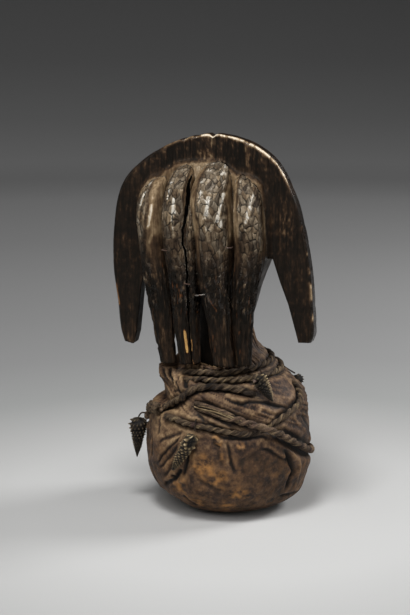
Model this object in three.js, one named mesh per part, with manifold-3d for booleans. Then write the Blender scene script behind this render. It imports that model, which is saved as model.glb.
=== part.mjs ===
// A carved wooden reliquary head standing in a bound hide bundle.
//
// Millimetres, +Z up. The origin is the centre of the bundle's flat underside. The face looks along -Y. The back of
// the head, with its four hanging tresses, looks along +Y.
//
// The head is one carving: an arched crest whose ends hang down as two lobes, four tresses behind it, and the face,
// skull and neck in front of it. The bundle is one stuffed hide, drawn in round the neck. Ropes bind it, and small
// spired shells are tied to the ropes.

import * as THREE from 'three';
import { mergeVertices } from 'three/addons/utils/BufferGeometryUtils.js';
import Module from 'manifold-3d';

const wasm = await Module();
wasm.setup();

// Driving sizes.
const HEAD_X = 8; // the head stands this far off the middle of the bundle
const PLAY = 0.35; // gap left between pieces that touch
const THREAD_RADIUS = 0.9;

const crest = {
  y: 26, // middle of its thickness
  thick: 16,
  bevel: 2.5,
};

// The crest was carved by eye, so its halves differ: X and Z along the arch from one lobe to the other, then along
// each lobe's foot and inner side up to where it parts from the head.
const arch = [
  [-103, 188], [-102, 210], [-99, 246], [-93.5, 279], [-90, 294], [-84.5, 314], [-79, 327], [-71, 344], [-60, 358],
  [-46, 368], [-34, 373.5], [-20, 377.5], [-4, 379.5], [10, 379], [24, 376], [37, 371.5], [50, 365.5], [62, 358.5],
  [74, 349.5], [85, 339], [92.5, 328], [97.5, 314], [100.5, 297], [103, 268], [102.5, 240], [98.5, 210], [96, 184],
];
const leftLobe = [[92, 169], [82, 167], [79, 178], [74, 226], [70, 238], [62, 262]];
const rightLobe = [[61, 262], [69, 238], [77.5, 216], [86, 186], [88, 178.5], [100.5, 179]];

const neck = { radius: 28, foot: 106, top: 232 };

// Each tress has rows of height, middle and half width, from its foot to its top. `out` is how far it stands out
// behind the head, and `lean` drops its top to one side.
const tressWidest = 284;
const tresses = [
  {
    rows: [
      [153, 41.3, 7.8], [176, 44, 9.3], [193, 45.4, 10.8], [229, 49.5, 13], [262, 55.5, 13.5], [312, 58.5, 14],
      [338, 53, 12],
    ],
    out: 62,
    lean: 0.5,
  },
  {
    rows: [
      [155, 20.5, 7], [177, 23.2, 7.4], [193, 24.4, 8.9], [231, 24, 12.3], [277, 28, 16], [320, 29.5, 14.5],
      [351, 26, 12],
    ],
    out: 69,
    lean: 0.25,
  },
  {
    rows: [
      [155, -18, 11.1], [179, -15, 11.4], [204, -12.4, 12.5], [232, -9, 15], [279, -6.5, 19], [320, -3, 20],
      [354, -6, 15],
    ],
    out: 70,
    lean: 0,
  },
  {
    rows: [
      [155, -36.3, 7.1], [182, -35, 8.8], [198, -35.3, 10.1], [219, -36.2, 11.5], [260, -41, 14], [300, -40, 14.5],
      [341, -36, 12],
    ],
    out: 63,
    lean: -0.4,
  },
];

// Rows of the head from chin to crown: height, half width, front of the face, back of the skull.
const headRows = [
  [170, 8, -62, -44],
  [175, 13, -70, -38],
  [184, 18, -76, -24],
  [198, 24, -78, -6],
  [223, 34, -77, 28],
  [246, 44, -80, 42],
  [268, 53, -84, 46],
  [292, 57.5, -88, 46],
  [316, 56, -87, 44],
  [336, 48, -75, 40],
  [350, 34, -53, 30],
  [358, 18, -26, 14],
  [361, 4, -6, 4],
];

// The face is a heart-shaped hollow under two brow arches, with a long nose, closed almond eyes and small lips. The
// nose has rows of height, Y of its ridge, and half width.
const heart = { browZ: 296, browX: 25, chinZ: 190, depth: 8.5, rim: 8 };
const nose = { top: 288, tip: 223, rows: [[223, -91.5, 10], [245, -89.5, 7.5], [270, -87.5, 5], [288, -87, 4]] };
const eye = { x: 24, z: 262, halfWidth: 15, halfHeight: 6.5, out: 6 };
const lips = { z: 199, halfWidth: 17, halfHeight: 7.5, out: 6.5 };
const hairline = { z: 322, out: 2.2 }; // height of the hair's edge on the forehead, and how far the hair stands out

const ear = { z: 266, y: -6, height: 27, depth: 15, out: 7 };

// The bundle's outline: height and radius.
const bundleRows = [
  [0, 37],
  [2.5, 45.5],
  [8, 57.5],
  [18, 69.5],
  [34, 78.8],
  [56, 82.5],
  [85, 82],
  [105, 77],
  [122, 69.5],
  [135, 60],
  [145, 50],
  [155, 43],
  [160, 41],
  [166, 36],
  [171, 32.5],
];
const bundleTop = 171;
// Places where the outline differs, each round a turn in degrees from +X towards +Y, and between heights.
const hideEar = { turn: 37, spread: 20, radius: 65, from: 128, top: 150 }; // the gathered corner that stands up
const hollow = { turn: 24, spread: 42, radius: 60, from: 103, top: 171 }; // the drawn-in side below that corner
const shoulder = { turn: 190, spread: 55, out: 9 }; // the fuller side under the right-hand lobe
const lowFold = { turn: 185, spread: 40, out: 4.5 }; // the fold near the ground below that shoulder
const undercut = { turn: 20, spread: 45, out: -5 }; // the rounder foot on the other side
// The collar round the neck is low behind the head and climbs the neck on its other sides, to a tongue of hide.
const collar = { from: 158, rear: 95, lowSpread: 50, drop: 9, climbFrom: 38, climbTo: 62 };
const tongue = { turn: 192, spread: 11, rise: 13 };

// Shared maths.

const radians = THREE.MathUtils.degToRad;
const clamp01 = (t) => Math.min(1, Math.max(0, t));

/** 0 up to `from`, 1 past `to`, and smooth between them. */
function ramp(from, to, t) {
  const s = clamp01((t - from) / (to - from));
  return s * s * (3 - 2 * s);
}

/** A soft mound: 1 at distance 0, and almost nothing past twice its width. */
const mound = (distance, width) => Math.exp(-((distance / width) ** 2));

/** Reads a column of rows sorted by height as one smooth curve. */
function through(rows, z, column = 1) {
  const last = rows.length - 1;
  let i = 0;
  while (i < last - 1 && z > rows[i + 1][0]) i += 1;
  const slope = (k) => {
    const [a, b] = [rows[Math.max(0, k - 1)], rows[Math.min(last, k + 1)]];
    return (b[column] - a[column]) / (b[0] - a[0]);
  };
  const span = rows[i + 1][0] - rows[i][0];
  const t = clamp01((z - rows[i][0]) / span);
  return (
    rows[i][column] * (1 + 2 * t) * (1 - t) ** 2 +
    rows[i + 1][column] * t * t * (3 - 2 * t) +
    span * (slope(i) * t * (1 - t) ** 2 - slope(i + 1) * t * t * (1 - t))
  );
}

/** Cosine raised to a power below 1, which squares a round section a little. */
const squared = (value, power) => Math.sign(value) * Math.abs(value) ** power;

// Solids.

/** A closed three.js geometry as a solid for joining and cutting. */
function solid(geometry) {
  const bare = geometry.clone();
  bare.deleteAttribute('normal');
  bare.deleteAttribute('uv');
  const merged = mergeVertices(bare, 1e-3);
  const triVerts = new Uint32Array(merged.index.array);
  const make = () =>
    new wasm.Manifold(
      new wasm.Mesh({ numProp: 3, vertProperties: merged.attributes.position.array, triVerts }),
    );
  const made = make();
  if (made.volume() > 0) return made;
  for (let i = 0; i < triVerts.length; i += 3) triVerts.subarray(i, i + 3).reverse();
  return make();
}

/** A solid as a three.js geometry with flat faces. */
function geometryOf(made) {
  const { vertProperties, triVerts } = made.getMesh();
  const indexed = new THREE.BufferGeometry();
  indexed.setAttribute('position', new THREE.BufferAttribute(vertProperties, 3));
  indexed.setIndex(new THREE.BufferAttribute(triVerts, 1));
  const flat = indexed.toNonIndexed();
  flat.computeVertexNormals();
  return flat;
}

/**
 * A closed skin of rings along a length. place(turn, along, reach) gives each point: turn in radians round the ring,
 * along from 0 to 1, and reach 0 at the middle of an end cap or 1 on the skin.
 */
function loft(sides, rings, place) {
  const shape = new THREE.CylinderGeometry(1, 1, 1, sides, rings);
  const points = shape.attributes.position;
  for (let i = 0; i < points.count; i += 1) {
    const [x, y, z] = [points.getX(i), points.getY(i), points.getZ(i)];
    const { x: px, y: py, z: pz } = place(Math.atan2(z, x), y + 0.5, Math.hypot(x, z));
    points.setXYZ(i, px, py, pz);
  }
  return solid(shape);
}

/** A round tube along a curve. */
function tube(curve, radius, sides, steps) {
  const ring = new THREE.Shape();
  for (let i = 0; i < sides; i += 1) {
    const turn = (2 * Math.PI * i) / sides;
    const [x, y] = [radius * Math.cos(turn), radius * Math.sin(turn)];
    if (i === 0) ring.moveTo(x, y);
    else ring.lineTo(x, y);
  }
  return solid(new THREE.ExtrudeGeometry(ring, { steps, extrudePath: curve }));
}

// The head.

/** The crest: an arch filled down to the head, with a lobe hanging at each end. */
function crestSolid() {
  const { thick, bevel, y } = crest;
  const outline = new THREE.Shape();
  outline.moveTo(...arch[0]);
  outline.splineThru(arch.slice(1).map(([x, z]) => new THREE.Vector2(x, z)));
  for (const [x, z] of leftLobe) outline.lineTo(x, z);
  for (const [x, z] of rightLobe) outline.lineTo(-x, z);
  const plate = new THREE.ExtrudeGeometry(outline, {
    depth: thick - 2 * bevel,
    bevelSize: bevel,
    bevelOffset: -bevel,
    bevelThickness: bevel,
    bevelSegments: 1,
    curveSegments: 1,
  });
  // The outline is drawn in X and Z, and its thickness runs along Y.
  plate.rotateX(Math.PI / 2);
  plate.translate(HEAD_X, y + thick / 2 - bevel, 0);
  return solid(plate);
}

/** One tress: rings from its cut foot, past its fullest point, to its rounded top. */
function tressSolid({ rows, out, lean }) {
  const foot = rows[0][0];
  const top = rows.at(-1)[0];
  const root = crest.y + crest.thick / 2;
  return loft(10, 14, (turn, along, reach) => {
    const z = THREE.MathUtils.lerp(foot, top, Math.sin((along * Math.PI) / 2));
    const rise = clamp01((z - tressWidest) / (top - tressWidest));
    const fall = clamp01((tressWidest - z) / (tressWidest - foot));
    const round = Math.sqrt(Math.max(0, 1 - rise ** 2.8));
    const outer = z > tressWidest ? root - 6 + (out - root + 6) * round : out - 12 * fall;
    const inner = THREE.MathUtils.lerp(crest.y - 4, 39, ramp(270, 232, z));
    const width = through(rows, z, 2) * Math.sqrt(Math.max(0.06, 1 - rise ** 9));
    const aside = reach * width * squared(Math.cos(turn), 0.85);
    return {
      x: HEAD_X + through(rows, z) + aside,
      y: (outer + inner) / 2 + (reach * (outer - inner) * squared(Math.sin(turn), 0.8)) / 2,
      z: z - lean * rise * aside,
    };
  });
}

/** How far the head's front stands out (+) or is cut in (-) at a place across and up the face. */
function faceRelief(x, z) {
  const aside = Math.abs(x);
  const brow = heart.browZ - 0.016 * (aside - heart.browX) ** 2;
  const cheek = 12 + 38 * ramp(heart.chinZ, 275, z);
  const hollow = ramp(brow + 1, brow - heart.rim, z) * ramp(cheek + 1, cheek - heart.rim, aside);
  const hair = ramp(hairline.z - 1, hairline.z + 3, z + 0.004 * x * x);
  return hairline.out * hair - heart.depth * hollow * ramp(heart.chinZ, heart.chinZ + 34, z);
}

/** Where the front of the head is at a place across and up the face. */
function faceY(x, z) {
  const [half, front, back] = [1, 2, 3].map((column) => through(headRows, z, column));
  const rest = 1 - Math.min(1, Math.abs(x) / half) ** 2.17;
  return (front + back) / 2 + ((front - back) / 2) * Math.sqrt(rest) - faceRelief(x, z);
}

/** The skull and the face's hollow: an oval section at each height. */
function skullSolid() {
  const bottom = headRows[0][0];
  const top = headRows.at(-1)[0];
  return loft(30, 29, (turn, along, reach) => {
    const z = THREE.MathUtils.lerp(bottom, top, along);
    // The turn is drawn towards the front, where the carving is.
    const drawn = turn + 0.35 * Math.cos(turn);
    const [half, front, back] = [1, 2, 3].map((column) => through(headRows, z, column));
    const x = reach * half * squared(Math.cos(drawn), 0.92);
    const ahead = ramp(0.05, 0.5, -Math.sin(drawn));
    const y = (front + back) / 2 + (reach * (back - front) * squared(Math.sin(drawn), 0.95)) / 2;
    return { x: HEAD_X + x, y: y - reach * faceRelief(x, z) * ahead, z };
  });
}

/** A rounded pad on the face: an eye or the lips. */
function padSolid(x, { z, halfWidth, halfHeight, out }) {
  const pad = new THREE.SphereGeometry(1, 10, 6);
  pad.scale(halfWidth, out, halfHeight);
  pad.translate(HEAD_X + x, faceY(x, z) + 1.5, z);
  return solid(pad);
}

/** The nose: a straight ridge from the brow that widens towards its tip. */
function noseSolid() {
  return loft(8, 4, (turn, along, reach) => {
    const z = THREE.MathUtils.lerp(nose.tip, nose.top, along);
    const tuck = along === 0 ? 0.75 : 1;
    const [ridge, half] = [1, 2].map((column) => through(nose.rows, z, column));
    const out = tuck * Math.max(0.5, faceY(0, z) - ridge);
    return {
      x: HEAD_X + reach * tuck * half * Math.cos(turn),
      y: faceY(0, z) + 2 - reach * (out + 2) * Math.sin(turn),
      z,
    };
  });
}

/** A small carved ear: a half-round pad with a scooped middle, standing in front of a lobe. */
function earSolid(side) {
  const half = through(headRows, ear.z);
  return loft(12, 2, (turn, along, reach) => {
    const scoop = 0.45 * ear.out * (1 - reach ** 2) * ramp(0.4, 1, along);
    return {
      x: HEAD_X + side * (half - 10 + along * (10 + ear.out) - scoop),
      y: ear.y + (reach * ear.depth * Math.cos(turn)) / 2,
      z: ear.z + (reach * ear.height * Math.sin(turn)) / 2,
    };
  });
}

function neckSolid() {
  return loft(20, 1, (turn, along, reach) => ({
    x: HEAD_X + reach * neck.radius * Math.cos(turn),
    y: reach * neck.radius * Math.sin(turn),
    z: THREE.MathUtils.lerp(neck.foot, neck.top, along),
  }));
}

function headSolid() {
  return [
    skullSolid(),
    noseSolid(),
    padSolid(-eye.x, eye),
    padSolid(eye.x, eye),
    padSolid(0, lips),
    neckSolid(),
    crestSolid(),
    ...tresses.map(tressSolid),
    earSolid(-1),
    earSolid(1),
  ].reduce((whole, piece) => whole.add(piece));
}

// The bundle.

/** How far apart two turns are, in degrees. */
const turnsApart = (a, b) => Math.abs(((((a - b) % 360) + 540) % 360) - 180);

/** A point on the hide: turn in degrees round the bundle, from +X towards +Y, at a height. */
function hidePoint(turn, height, reach = 1) {
  const angle = radians(turn);
  const plain = through(bundleRows, height);
  const near = ({ turn: middle, spread }) => mound(turnsApart(turn, middle), spread);
  const drawnIn =
    near(hollow) * Math.min(0, hollow.radius - plain) * ramp(hollow.from, hollow.from + 10, height) *
    ramp(hollow.top, hollow.top - 13, height);
  const corner =
    near(hideEar) *
    Math.max(0, hideEar.radius - plain) *
    ramp(hideEar.from, hideEar.from + 12, height) *
    (1 - ramp(hideEar.top, hideEar.top + 5, height));
  const full = shoulder.out * near(shoulder) * ramp(92, 118, height) * ramp(166, 146, height);
  const low =
    lowFold.out * near(lowFold) * ramp(0, 6, height) * ramp(30, 14, height) +
    undercut.out * near(undercut) * ramp(0, 5, height) * ramp(22, 12, height);
  const gathers = 1.6 * Math.cos(11 * angle) * ramp(112, 140, height) * ramp(bundleTop, 155, height);
  const radius = plain + drawnIn + corner + full + low + gathers;
  const behind = turnsApart(turn, collar.rear);
  const climb = Math.max(0, height - collar.from) * ramp(collar.climbFrom, collar.climbTo, behind);
  const tip = tongue.rise * near(tongue) * ramp(bundleTop - 8, bundleTop, height);
  const drop = collar.drop * mound(behind, collar.lowSpread) * ramp(128, 160, height);
  return new THREE.Vector3(
    HEAD_X * ramp(90, 146, height) + reach * radius * Math.cos(angle),
    reach * radius * Math.sin(angle),
    Math.min(height, collar.from) + climb + tip - drop,
  );
}

function bundleSolid() {
  return loft(30, 14, (turn, along, reach) => {
    const height = (bundleTop * (1 - Math.cos(Math.PI * along))) / 2;
    return hidePoint(THREE.MathUtils.radToDeg(turn), height, reach);
  });
}

// Ropes.

/** The place of a rope's middle: on the hide at a turn and height, raised by `lift` along the hide's own normal. */
function ropePoint([turn, height, lift = usualLift]) {
  const here = hidePoint(turn, height);
  const round = hidePoint(turn + 2, height).sub(hidePoint(turn - 2, height));
  const up = hidePoint(turn, height + 2).sub(hidePoint(turn, height - 2));
  return here.addScaledVector(round.cross(up).normalize(), lift);
}

/** A rope route over the hide, from rows of turn, height and lift. */
const route = (rows) => new THREE.CatmullRomCurve3(rows.map(ropePoint), false, 'centripetal');

// Each rope's route is read off the bundle by eye: turn in degrees, height, and lift where it isn't the usual one.
const ropes = [
  {
    name: 'neck_rope',
    radius: 3.4,
    steps: 31,
    rows: [
      [58, 141.5, -5], [70, 142, -2.5], [82, 142.8, 0.5], [96, 142.8, 0.8], [110, 142.6, 1.2], [125, 142, 1.5],
      [150, 141.5], [180, 142], [210, 143], [240, 144.5], [270, 145], [300, 145], [330, 145.5], [348, 146, 0],
      [366, 146.5, -5], [390, 147.5, -5.5], [414, 149, -4.5], [431, 149.8, 0.8], [446, 151.2], [458, 151.9],
      [480, 151.3], [498, 151], [517, 151.4], [540, 151.5], [570, 152], [600, 153], [630, 153.5], [660, 154],
      [690, 154],
    ],
  },
  {
    name: 'shoulder_rope',
    radius: 4,
    steps: 27,
    rows: [
      [45, 106.5], [52, 112], [60, 117], [67, 121.3], [75, 127.7], [82.5, 132.3], [94, 135.2], [106, 135],
      [118, 132.6], [127, 130.6, 0], [134, 127, -4], [142, 121, -6.2], [152, 115, -6.2], [162, 113.5, -6.4],
      [174, 115, -6.4], [188, 116, -6.2], [202, 114.8, -6], [216, 113, -5.8], [230, 112, -5.6], [242, 111.5, -4],
      [254, 111, 0], [266, 110], [280, 108], [300, 105], [325, 101], [348, 97.5], [366, 97.2], [384, 99.5],
    ],
  },
  {
    name: 'waist_rope',
    radius: 3.3,
    steps: 19,
    rows: [
      [54, 102.5], [67, 102], [75, 100.3], [89, 99], [103, 95.6], [117, 93, 0.3], [126, 93.2, -2.4], [134, 96.2, -3],
      [142, 100.6, -1.5], [153, 106.8], [163, 111.3], [171, 115.5], [178, 121], [183, 126, 0], [187, 129.5, -3],
    ],
  },
  {
    name: 'belly_rope',
    radius: 4.1,
    steps: 25,
    rows: [
      [79, 117.5, -3], [86, 116.5, 0], [93, 115], [105, 110], [119, 103.2, 2], [127, 99.2, 4], [134, 95, 5.3],
      [145, 87.3, 2.5], [158, 76.7], [172, 66.5], [186, 59], [205, 54], [225, 53], [250, 55.5], [275, 60], [300, 67],
      [322, 75], [345, 82.5], [364, 87.3], [382, 91],
    ],
  },
];
const ropeSides = 5;
const usualLift = 1.5;

// The knot where the ropes meet, on the bundle's left shoulder as seen from behind.
const knot = { turn: 40, height: 104, lift: 3.5, length: 27, thick: 13 };

function knotSolid(grow = 0) {
  const middle = ropePoint([knot.turn, knot.height, knot.lift]);
  const along = ropePoint([knot.turn + 8, knot.height + 1, knot.lift])
    .sub(ropePoint([knot.turn - 8, knot.height - 1, knot.lift]))
    .normalize();
  const out = new THREE.Vector3(middle.x, middle.y, 0).normalize();
  const up = new THREE.Vector3().crossVectors(out, along).normalize();
  return loft(8, 6, (turn, part, reach) => {
    const lumps = 1 + 0.16 * Math.cos(part * 4 * Math.PI);
    const radius = reach * (grow + (knot.thick / 2) * lumps * Math.sin(Math.PI * (0.14 + 0.72 * part)));
    return middle
      .clone()
      .addScaledVector(along, (part - 0.5) * (knot.length + 2 * grow))
      .addScaledVector(out, radius * 0.8 * Math.cos(turn))
      .addScaledVector(up, radius * Math.sin(turn));
  });
}

// Shells.

// One shell is a row: its mouth end and its point, each as turn, height and distance off the hide.
const shellSize = { whorls: 5, slope: 0.2 };
const shells = [
  { name: 'shell_left', mouth: [16, 86, 9.5], point: [11, 45, 13] },
  { name: 'shell_middle', mouth: [84, 91, 11.5], point: [67, 53, 5] },
  { name: 'shell_upper', mouth: [135.5, 137, 11.8], point: [141, 119.5, 4.8] },
  { name: 'shell_right', mouth: [221, 118, 7.4], point: [238, 98, 6] },
];

/** A tall spired shell, as a cone of swelling whorls from its point to its mouth. */
function shellSolid({ mouth, point }) {
  const from = ropePoint(point);
  const axis = ropePoint(mouth).sub(from);
  const length = axis.length();
  const profile = [new THREE.Vector2(0, 0)];
  for (let i = 1; i <= shellSize.whorls; i += 1) {
    const along = (length * 0.93 * i) / shellSize.whorls;
    profile.push(new THREE.Vector2(along * shellSize.slope + 0.5, along));
    if (i < shellSize.whorls) profile.push(new THREE.Vector2(along * shellSize.slope - 0.5, along + 0.8));
  }
  profile.push(new THREE.Vector2(0, length));
  const turned = new THREE.LatheGeometry(profile, 7);
  turned.applyQuaternion(
    new THREE.Quaternion().setFromUnitVectors(new THREE.Vector3(0, 1, 0), axis.normalize()),
  );
  turned.translate(from.x, from.y, from.z);
  return solid(turned);
}

// Each shell's tie: a thread from the rope above it down into its mouth.
const ties = [
  { name: 'tie_left', rows: [[26, 96, 4], [20, 93, 8], [17, 88, 10]] },
  { name: 'tie_middle', rows: [[83, 105, 1.2], [84, 100, 7.5], [84.5, 95, 9]] },
  { name: 'tie_upper', rows: [[133, 149.2, 6], [134.5, 146.5, 9.5], [135.5, 142.5, 12.2]] },
  { name: 'tie_right', rows: [[219, 139, 4.4], [220, 132.5, 5.6], [221, 122.5, 7]] },
];

// Staples.

// Four thin iron staples hold the tresses: the two ends of each bar, as X, Y and Z.
const staples = [
  { name: 'staple_split', ends: [[19.2, 64.4, 237], [13.8, 63.4, 236.2]] },
  { name: 'staple_middle', ends: [[8.6, 63.2, 225.4], [-2, 64, 227.2]] },
  { name: 'staple_left', ends: [[41.8, 63.4, 268.6], [36.6, 65.6, 268.6]] },
  { name: 'staple_right', ends: [[-21.6, 62.6, 274], [-27, 61, 273.6]] },
];
const stapleWire = { radius: 0.6, leg: 7 };

/** A wire bar with both ends bent down into the wood, thicker and longer by `grow`. */
function stapleSolid({ ends }, grow = 0) {
  const [from, to] = ends.map(([x, y, z]) => new THREE.Vector3(HEAD_X + x, y, z));
  const leg = new THREE.Vector3(0, -stapleWire.leg - grow, 0);
  const corners = [from.clone().add(leg), from, to, to.clone().add(leg)];
  const bent = new THREE.CatmullRomCurve3(corners, false, 'catmullrom', 0.2);
  return tube(bent, stapleWire.radius + grow, 4, 9);
}

// Putting it together.

const colours = {
  wood: { color: 0x2c241d, roughness: 0.5, metalness: 0 },
  hide: { color: 0x5a4330, roughness: 0.75, metalness: 0 },
  rope: { color: 0x5f4c39, roughness: 0.85, metalness: 0 },
  shell: { color: 0x4c4437, roughness: 0.6, metalness: 0 },
  iron: { color: 0x8c8780, roughness: 0.4, metalness: 1 },
};

const group = new THREE.Group();

function place(name, made, colour) {
  const mesh = new THREE.Mesh(geometryOf(made), new THREE.MeshStandardMaterial(colours[colour]));
  mesh.name = name;
  group.add(mesh);
}

const knotSkin = knotSolid(PLAY);
const bound = ropes.map(({ name, radius, steps, rows }) => {
  const line = route(rows);
  return {
    name,
    body: tube(line, radius, ropeSides, steps).subtract(knotSkin),
    print: tube(line, radius + 1.3 * PLAY, ropeSides, steps),
  };
});

const neckHole = loft(20, 1, (turn, along, reach) => ({
  x: HEAD_X + reach * (neck.radius + PLAY) * Math.cos(turn),
  y: reach * (neck.radius + PLAY) * Math.sin(turn),
  z: THREE.MathUtils.lerp(neck.foot - PLAY, neck.top, along),
}));

const hide = [knotSkin, neckHole, ...bound.map((rope) => rope.print)].reduce(
  (whole, cut) => whole.subtract(cut),
  bundleSolid(),
);

const head = staples.reduce((whole, staple) => whole.subtract(stapleSolid(staple, PLAY)), headSolid());

place('head', head, 'wood');
place('hide_bundle', hide, 'hide');
for (const { name, body } of bound) place(name, body, 'rope');
place('rope_knot', knotSolid(), 'rope');
for (const shell of shells) place(shell.name, shellSolid(shell), 'shell');
for (const { name, rows } of ties) place(name, tube(route(rows), THREAD_RADIUS, 6, 5), 'rope');
for (const staple of staples) place(staple.name, stapleSolid(staple), 'iron');

export default group;
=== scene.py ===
import logging
import math
from dataclasses import dataclass
from enum import Enum
from functools import partial
from typing import Callable, Optional, Sequence, Union

import bmesh
import bpy
import numpy as np
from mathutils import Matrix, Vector


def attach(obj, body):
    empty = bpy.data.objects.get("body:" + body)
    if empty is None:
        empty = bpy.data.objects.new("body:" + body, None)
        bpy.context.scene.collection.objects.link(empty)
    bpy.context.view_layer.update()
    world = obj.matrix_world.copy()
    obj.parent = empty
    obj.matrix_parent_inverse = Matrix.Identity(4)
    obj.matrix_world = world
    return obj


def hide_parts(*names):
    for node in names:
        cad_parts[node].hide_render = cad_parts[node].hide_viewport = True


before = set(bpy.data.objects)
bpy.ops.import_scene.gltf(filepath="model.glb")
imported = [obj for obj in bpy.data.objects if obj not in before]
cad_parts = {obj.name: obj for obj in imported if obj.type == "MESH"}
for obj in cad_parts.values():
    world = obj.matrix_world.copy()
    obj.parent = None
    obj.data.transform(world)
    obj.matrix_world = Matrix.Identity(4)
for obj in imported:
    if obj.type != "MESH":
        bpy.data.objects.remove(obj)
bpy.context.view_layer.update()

# A carved wooden head with an arched crest and four tresses, standing in a stuffed hide bundle bound with
# twisted rope. Sizes are in millimetres on the frame's axes until a mesh is made, when they turn to metres.
# The face looks along -Y and the tresses along +Y.

LOG = logging.getLogger("reliquary_head")
MM = 0.001
HEAD_X = 8.0  # the head stands this far off the middle of the bundle

Array = np.ndarray
Piece = bpy.types.Object
Node = bpy.types.Node
Socket = bpy.types.NodeSocket
Tree = bpy.types.NodeTree
Rows = tuple[tuple[float, ...], ...]  # a table, with one place or height in a row
Stops = tuple[tuple[float, str], ...]  # positions from 0 to 1 and their hex colours


# Shared maths.


def ramp(low: float, high: float, value: Array) -> Array:
    """Smooth step: t = (value - low) / (high - low) kept to 0..1, then 3t^2 - 2t^3.

    Args:
        low: value at which the step starts.
        high: value at which it ends. It may be under low, and the step then falls.
        value: where to read it.

    Returns:
        0 before the step, 1 after it.
    """
    part = np.clip((np.asarray(value, float) - low) / (high - low), 0.0, 1.0)
    return part * part * (3.0 - 2.0 * part)


def mound(distance: Array, width: float) -> Array:
    """Soft bump exp(-(distance / width)^2).

    Args:
        distance: how far from the bump's middle.
        width: distance at which it has fallen to 0.37.

    Returns:
        1 at the middle, and almost nothing past twice the width.
    """
    return np.exp(-((np.asarray(distance, float) / width) ** 2))


def squared(value: Array, power: float) -> Array:
    """Sign-keeping power, sign(v) |v|^power, which squares a round section when power is under 1."""
    return np.sign(value) * np.abs(value) ** power


def stacked(*parts: Array) -> Array:
    """Places from one array for each coordinate, all stretched to the same shape."""
    return np.stack(np.broadcast_arrays(*parts), axis=-1)


def unit(vectors: Array) -> Array:
    """Vectors at length 1."""
    return vectors / (np.linalg.norm(vectors, axis=-1, keepdims=True) + 1e-12)


def walk(line: Array) -> Array:
    """Distance walked along a line at each of its places."""
    return np.concatenate([[0.0], np.cumsum(np.linalg.norm(np.diff(line, axis=0), axis=1))])


def apart(turn: Array, other: float, whole: float = 360.0) -> Array:
    """Angle between two turns, the shorter way round."""
    return np.abs((turn - other + 1.5 * whole) % whole - 0.5 * whole)


def circle(count: int) -> Array:
    """Evenly spaced angles round a circle, in radians."""
    return np.linspace(0, 2 * np.pi, count, endpoint=False)


def polar(radius: Array, angle: Array, height: Array, x: Array = 0.0) -> Array:
    """Places at a radius and an angle round an upright axis at x."""
    return stacked(x + radius * np.cos(angle), radius * np.sin(angle), height)


def through(rows: Sequence[Sequence[float]], height: Array, column: int = 1) -> Array:
    """Smooth curve through rows sorted by height: cubic Hermite with slopes from the neighbouring rows.

    Args:
        rows: rows whose first column is the height.
        height: heights to read, kept to the rows' range.
        column: which column to read.

    Returns:
        The column's value at each height.
    """
    table = np.asarray([[row[0], row[column]] for row in rows], float)
    heights, values = table[:, 0], table[:, 1]
    ahead = np.minimum(np.arange(len(table)) + 1, len(table) - 1)
    behind = np.maximum(np.arange(len(table)) - 1, 0)
    slopes = (values[ahead] - values[behind]) / (heights[ahead] - heights[behind])
    at = np.clip(np.searchsorted(heights, height, side="right") - 1, 0, len(table) - 2)
    span = heights[at + 1] - heights[at]
    part = np.clip((height - heights[at]) / span, 0.0, 1.0)
    return (
        values[at] * (1 + 2 * part) * (1 - part) ** 2
        + values[at + 1] * part * part * (3 - 2 * part)
        + span * (slopes[at] * part * (1 - part) ** 2 - slopes[at + 1] * part * part * (1 - part))
    )


def curve_through(points: Sequence[Sequence[float]], count: int) -> Array:
    """Evenly spaced places along a smooth curve: a centripetal-like Catmull-Rom read by arc length.

    Args:
        points: places that the curve passes through.
        count: how many places to return.

    Returns:
        Array of count places, first and last at the ends.
    """
    knots = np.asarray(points, float)
    steps = np.maximum(np.linalg.norm(np.diff(knots, axis=0), axis=1), 1e-6)
    along = np.concatenate([[0.0], np.cumsum(np.sqrt(steps))])
    fine = np.linspace(0.0, along[-1], 40 * len(knots))
    rows = np.column_stack([along, knots])
    dense = np.column_stack([through(rows, fine, axis + 1) for axis in range(knots.shape[1])])
    walked = walk(dense)
    wanted = np.linspace(0.0, walked[-1], count)
    return np.column_stack([np.interp(wanted, walked, dense[:, axis]) for axis in range(knots.shape[1])])


def lattice(cells: Array, seed: int) -> Array:
    """Fixed random number for whole-number places, mixed bit by bit from their coordinates.

    Args:
        cells: places, with 1 to 3 coordinates in the last axis.
        seed: which set of numbers.

    Returns:
        Numbers from 0 to 1.
    """
    mask = np.uint64(0xFFFFFFFF)
    mixed = np.full(cells.shape[:-1], (seed * 2654435761 + 97) & 0xFFFFFFFF, dtype=np.uint64)
    for axis, prime in enumerate((668265263, 2246822519, 3266489917)[: cells.shape[-1]]):
        key = cells[..., axis].astype(np.int64).astype(np.uint64) & mask
        mixed = (mixed ^ ((key * np.uint64(prime)) & mask)) & mask
        mixed = ((mixed ^ (mixed >> np.uint64(15))) * np.uint64(2246822519)) & mask
        mixed = ((mixed ^ (mixed >> np.uint64(13))) * np.uint64(3266489917)) & mask
    mixed ^= mixed >> np.uint64(16)
    return (mixed & np.uint64(0xFFFFFF)).astype(float) / float(0xFFFFFF)


def swell(places: Array, seed: int) -> Array:
    """Soft random waves one unit across: lattice numbers blended by 3t^2 - 2t^3 along each axis.

    Args:
        places: where to read, with 1 to 3 coordinates in the last axis.
        seed: which set of waves.

    Returns:
        Values from -1 to 1.
    """
    base = np.floor(places)
    part = places - base
    part = part * part * (3.0 - 2.0 * part)
    total = np.zeros(places.shape[:-1])
    for corner in range(2 ** places.shape[-1]):
        offset = np.array([(corner >> axis) & 1 for axis in range(places.shape[-1])])
        weight = np.prod(np.where(offset == 1, part, 1.0 - part), axis=-1)
        total += weight * lattice(base + offset, seed)
    return 2.0 * total - 1.0


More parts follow.
